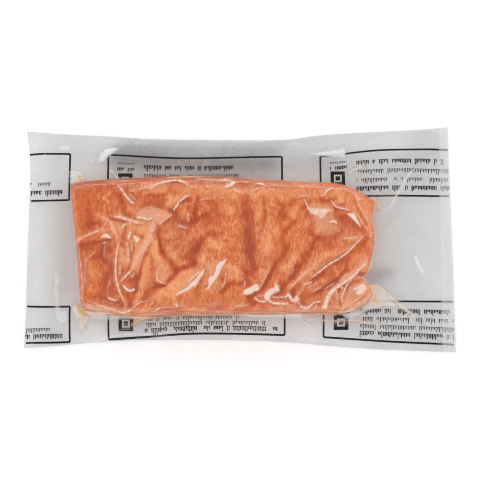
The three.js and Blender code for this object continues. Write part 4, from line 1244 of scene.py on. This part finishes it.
panels = [
    (place, left + step * PANEL_PITCH)
    for place, left in ((back_row, BACK_ROW_LEFT), (front_row, FRONT_ROW_LEFT))
    for step in (-1, 0, 1)
]
row_points, row_edges, row_heights, row_strokes = [], [], [], []
ribbons = []
for place, left in panels:
    for start, end, share, height, stroke in PRINT_ROWS:
        path = print_path(place, left, start, end, share, PRINT_STEP) + (0, height / 2)
        first = len(row_points)
        row_points += path.tolist()
        row_edges += [(first + at, first + at + 1) for at in range(len(path) - 1)]
        row_heights += [height * MM] * len(path)
        row_strokes += [stroke * MM] * len(path)
    for share in (0, 1):
        level = print_path(place, left, 0, PANEL_WIDTH, share, FRAME_STEP)
        ribbons.append(ribbon(level, FRAME_LINE))
    for side in (0, PANEL_WIDTH):
        x = np.full(FRAME_SIDE_POINTS, left + side)
        column = np.stack([x, place(x, np.linspace(0, 1, FRAME_SIDE_POINTS))], axis=-1)
        ribbons.append(ribbon(column, FRAME_LINE))
    across, share = MARK_CENTRE
    centre = np.array([left + across, place(left + across, share)])
    reach = MARK_HALF - MARK_LINE / 2
    mark_across = np.linspace(-MARK_HALF, MARK_HALF, MARK_LEVEL_POINTS)
    mark_up = np.linspace(-reach, reach, MARK_UPRIGHT_POINTS)
    for sign in (-1, 1):
        level = np.stack([mark_across, np.full(MARK_LEVEL_POINTS, sign * reach)], axis=-1)
        upright = np.stack([np.full(MARK_UPRIGHT_POINTS, sign * reach), mark_up], axis=-1)
        ribbons.append(ribbon(centre + level, MARK_LINE))
        ribbons.append(ribbon(centre + upright, MARK_LINE))
    dot = np.stack([np.linspace(-MARK_DOT, MARK_DOT, 3), np.zeros(3)], axis=-1)
    ribbons.append(ribbon(centre + dot, 2 * MARK_DOT))

rows_tree = NodeTree(bpy.data.node_groups.new("rows of small print", "GeometryNodeTree"))
interface = rows_tree.tree.interface
interface.new_socket("Rows", in_out="INPUT", socket_type="NodeSocketGeometry")
interface.new_socket("Bar Pitch", in_out="INPUT", socket_type="NodeSocketFloat")
interface.new_socket("Word Gaps", in_out="INPUT", socket_type="NodeSocketFloat")
interface.new_socket("Seed", in_out="INPUT", socket_type="NodeSocketInt")
interface.new_socket("Ink", in_out="INPUT", socket_type="NodeSocketMaterial")
interface.new_socket("Print", in_out="OUTPUT", socket_type="NodeSocketGeometry")
given = rows_tree.add("NodeGroupInput").outputs
seed = Value(rows_tree, given["Seed"])
pitch = Value(rows_tree, given["Bar Pitch"])


def noted_on_rows(name):
    node = rows_tree.add("GeometryNodeInputNamedAttribute", {"data_type": "FLOAT"}, {"Name": name})
    return Value(rows_tree, node.outputs[0])


def random_between(low, high, turn, **inputs):
    settings = {"data_type": "FLOAT"}
    node = rows_tree.add("FunctionNodeRandomValue", settings, {2: low, 3: high, "Seed": seed + turn} | inputs)
    return Value(rows_tree, node.outputs[1])


def bars(along_rows, size, keep, turn):
    """Upright bars that hang from the row, or short level ones, on points along the rows."""
    upright = rows_tree.add("GeometryNodeMeshGrid", inputs={0: 1.0, 1: 1.0, 2: 2, 3: 2})
    hung = rows_tree.add(
        "GeometryNodeTransform", inputs={"Geometry": upright.outputs[0], "Translation": (0, -0.5, 0)}
    )
    facing = rows_tree.add(
        "FunctionNodeAlignRotationToVector", {"axis": "X"}, {"Vector": along_rows.outputs["Tangent"]}
    )
    scale = rows_tree.add("ShaderNodeCombineXYZ", inputs={0: size[0], 1: size[1], 2: 1.0})
    return rows_tree.add(
        "GeometryNodeInstanceOnPoints",
        inputs={
            "Points": along_rows.outputs["Points"],
            "Selection": keep,
            "Instance": hung.outputs[0],
            "Rotation": facing.outputs[0],
            "Scale": scale.outputs[0],
        },
    )


row_curves = rows_tree.add("GeometryNodeMeshToCurve", inputs={"Mesh": given["Rows"]}).outputs[0]
height, stroke = noted_on_rows("bar_height"), noted_on_rows("bar_stroke")
every = rows_tree.add(
    "GeometryNodeCurveToPoints", {"mode": "LENGTH"}, {"Curve": row_curves, "Length": pitch}
)
pair = rows_tree.add("GeometryNodeInputIndex")
pair = (Value(rows_tree, pair.outputs[0]) * 0.5).maths("FLOOR", 0)
kept = random_between(0.0, 1.0, 1, ID=pair).maths("GREATER_THAN", given["Word Gaps"])
tall = random_between(0.0, 1.0, 2).maths("GREATER_THAN", 0.75)
uprights = bars(
    every,
    (stroke * random_between(0.8, 1.3, 3), height * (random_between(0.55, 1.05, 4) + 0.35 * tall)),
    kept,
    1,
)
level_sets = []
for turn, drop, rare in ((5, 0.0, 0.55), (6, -0.44, 0.5), (7, -0.86, 0.45)):
    size = (pitch * 0.9, stroke * 0.7)
    shown = kept * random_between(0.0, 1.0, turn).maths("GREATER_THAN", rare)
    joined = bars(every, size, shown, turn)
    shift = rows_tree.add("ShaderNodeCombineXYZ", inputs={0: pitch * 0.5, 1: height * drop})
    level_sets.append(
        rows_tree.add(
            "GeometryNodeTranslateInstances",
            inputs={"Instances": joined.outputs[0], "Translation": shift.outputs[0]},
        )
    )
joined = rows_tree.add("GeometryNodeJoinGeometry")
for node in (uprights, *level_sets):
    rows_tree.tree.links.new(node.outputs[0], joined.inputs[0])
real = rows_tree.add("GeometryNodeRealizeInstances", inputs={"Geometry": joined.outputs[0]})
inked = rows_tree.add(
    "GeometryNodeSetMaterial", inputs={"Geometry": real.outputs[0], "Material": given["Ink"]}
)
rows_tree.add("NodeGroupOutput", inputs={"Print": inked.outputs[0]})

finish = Finish("black ink")
surface = finish.surface({"Base Color": colour(4, 4, 4), "Roughness": 0.8, "Specular IOR Level": 0.1})
ink = finish.shown(surface)

row_mesh = bpy.data.meshes.new("rows")
row_mesh.from_pydata([(x * MM, y * MM, 0) for x, y in row_points], row_edges, [])
for name, kept_values in (("bar_height", row_heights), ("bar_stroke", row_strokes)):
    layer = row_mesh.attributes.new(name, "FLOAT", "POINT")
    layer.data.foreach_set("value", kept_values)
row_object = bpy.data.objects.new("rows", row_mesh)
bpy.context.scene.collection.objects.link(row_object)
modifier = row_object.modifiers.new("rows of small print", "NODES")
modifier.node_group = rows_tree.tree
sockets = {item.name: item.identifier for item in interface.items_tree}
for name, value in {"Bar Pitch": 0.8 * MM, "Word Gaps": 0.14, "Seed": 11, "Ink": ink}.items():
    modifier[sockets[name]] = value
evaluated = row_object.evaluated_get(bpy.context.evaluated_depsgraph_get())
row_print = bpy.data.meshes.new_from_object(evaluated)
row_object.modifiers.remove(modifier)
bpy.data.objects.remove(row_object)

flat = [np.array([vertex.co[:2] for vertex in row_print.vertices]) / MM]
print_faces = [tuple(face.vertices) for face in row_print.polygons]
count = len(flat[0])
for corners, faces in ribbons:
    flat.append(corners)
    print_faces += [tuple(count + index for index in face) for face in faces]
    count += len(corners)
flat = np.concatenate(flat)
bag_points = np.concatenate(bag_shell.points).tolist()
lower_web = BVHTree.FromPolygons(bag_points, bag_shell.faces[lower_web_start:])
landed = [lower_web.ray_cast((x, y, 30), (0, 0, -1))[0] for x, y in flat]
print_faces = [face for face in print_faces if all(landed[index] for index in face)]
used = sorted({index for face in print_faces for index in face})
renumbered = {index: number for number, index in enumerate(used)}
print_mesh = bpy.data.meshes.new("pouch_print")
print_mesh.from_pydata(
    [(landed[index].x * MM, landed[index].y * MM, (landed[index].z + INK_RAISE) * MM) for index in used],
    [],
    [[renumbered[index] for index in face] for face in print_faces],
)
print_mesh.materials.append(ink)
pouch_print = bpy.data.objects.new("pouch_print", print_mesh)
bpy.context.scene.collection.objects.link(pouch_print)
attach(pouch_print, "root")


# The table and the studio
# A white table top, a camera that looks down on the pack at 80 degrees, and low strip
# lights on all sides in an even white room.

CAMERA_ELEVATION = math.radians(80)
CAMERA_DISTANCE = 1.0
CAMERA_AIM = Vector((0.16, -0.2, 0)) * MM
LENS_PIXELS = 2028
FRAME_PIXELS = 480
SENSOR = 36
TABLE_HALF = 1.5
TABLE_HEIGHT = -0.0004

floor_mesh = bpy.data.meshes.new("table_top")
floor_corners = [
    (x * TABLE_HALF, y * TABLE_HALF, TABLE_HEIGHT) for x, y in [(-1, -1), (1, -1), (1, 1), (-1, 1)]
]
floor_mesh.from_pydata(floor_corners, [], [(0, 1, 2, 3)])
floor = bpy.data.objects.new("table_top", floor_mesh)
bpy.context.scene.collection.objects.link(floor)
finish = Finish("white table")
surface = finish.surface(
    {
        "Base Color": (0.95, 0.95, 0.95, 1),
        "Roughness": 0.8,
        "Emission Color": (1, 1, 1, 1),
        "Emission Strength": 0.2,
    }
)
floor.data.materials.append(finish.shown(surface))

camera = bpy.data.objects.new("camera", bpy.data.cameras.new("camera"))
bpy.context.scene.collection.objects.link(camera)
camera.data.sensor_width = SENSOR
camera.data.lens = LENS_PIXELS * SENSOR / FRAME_PIXELS
camera.data.clip_start = 0.05
camera.location = CAMERA_AIM + CAMERA_DISTANCE * Vector(
    (0, -math.cos(CAMERA_ELEVATION), math.sin(CAMERA_ELEVATION))
)
camera.rotation_euler = (CAMERA_AIM - camera.location).to_track_quat("-Z", "Y").to_euler()
bpy.context.scene.camera = camera


def strip_light(name, azimuth, elevation, size, radiance, distance=0.9):
    """An area light that faces the pack, from a compass direction with 0 in front."""
    light = bpy.data.lights.new(name, "AREA")
    light.shape = "RECTANGLE"
    light.size, light.size_y = size
    light.energy = radiance * math.pi * size[0] * size[1]
    box = bpy.data.objects.new(name, light)
    bpy.context.scene.collection.objects.link(box)
    turn, tilt = math.radians(azimuth), math.radians(elevation)
    direction = Vector(
        (math.sin(turn) * math.cos(tilt), -math.cos(turn) * math.cos(tilt), math.sin(tilt))
    )
    box.location = direction * distance
    box.rotation_euler = (-direction).to_track_quat("-Z", "Y").to_euler()


strip_light("back box", 170, 15, (0.9, 0.2), 3)
strip_light("front box", 0, 13, (0.9, 0.16), 3)
strip_light("left box", -90, 26, (0.9, 0.2), 2.5)
strip_light("right box", 90, 26, (0.9, 0.2), 2)

world = bpy.data.worlds.new("studio")
bpy.context.scene.world = world
world.use_nodes = True
world.node_tree.nodes["Background"].inputs["Color"].default_value = (1, 1, 1, 1)
world.node_tree.nodes["Background"].inputs["Strength"].default_value = 0.73
bpy.context.scene.view_settings.view_transform = "Standard"
bpy.context.scene.cycles.transparent_max_bounces = 16
bpy.context.scene.cycles.filter_width = 1.1
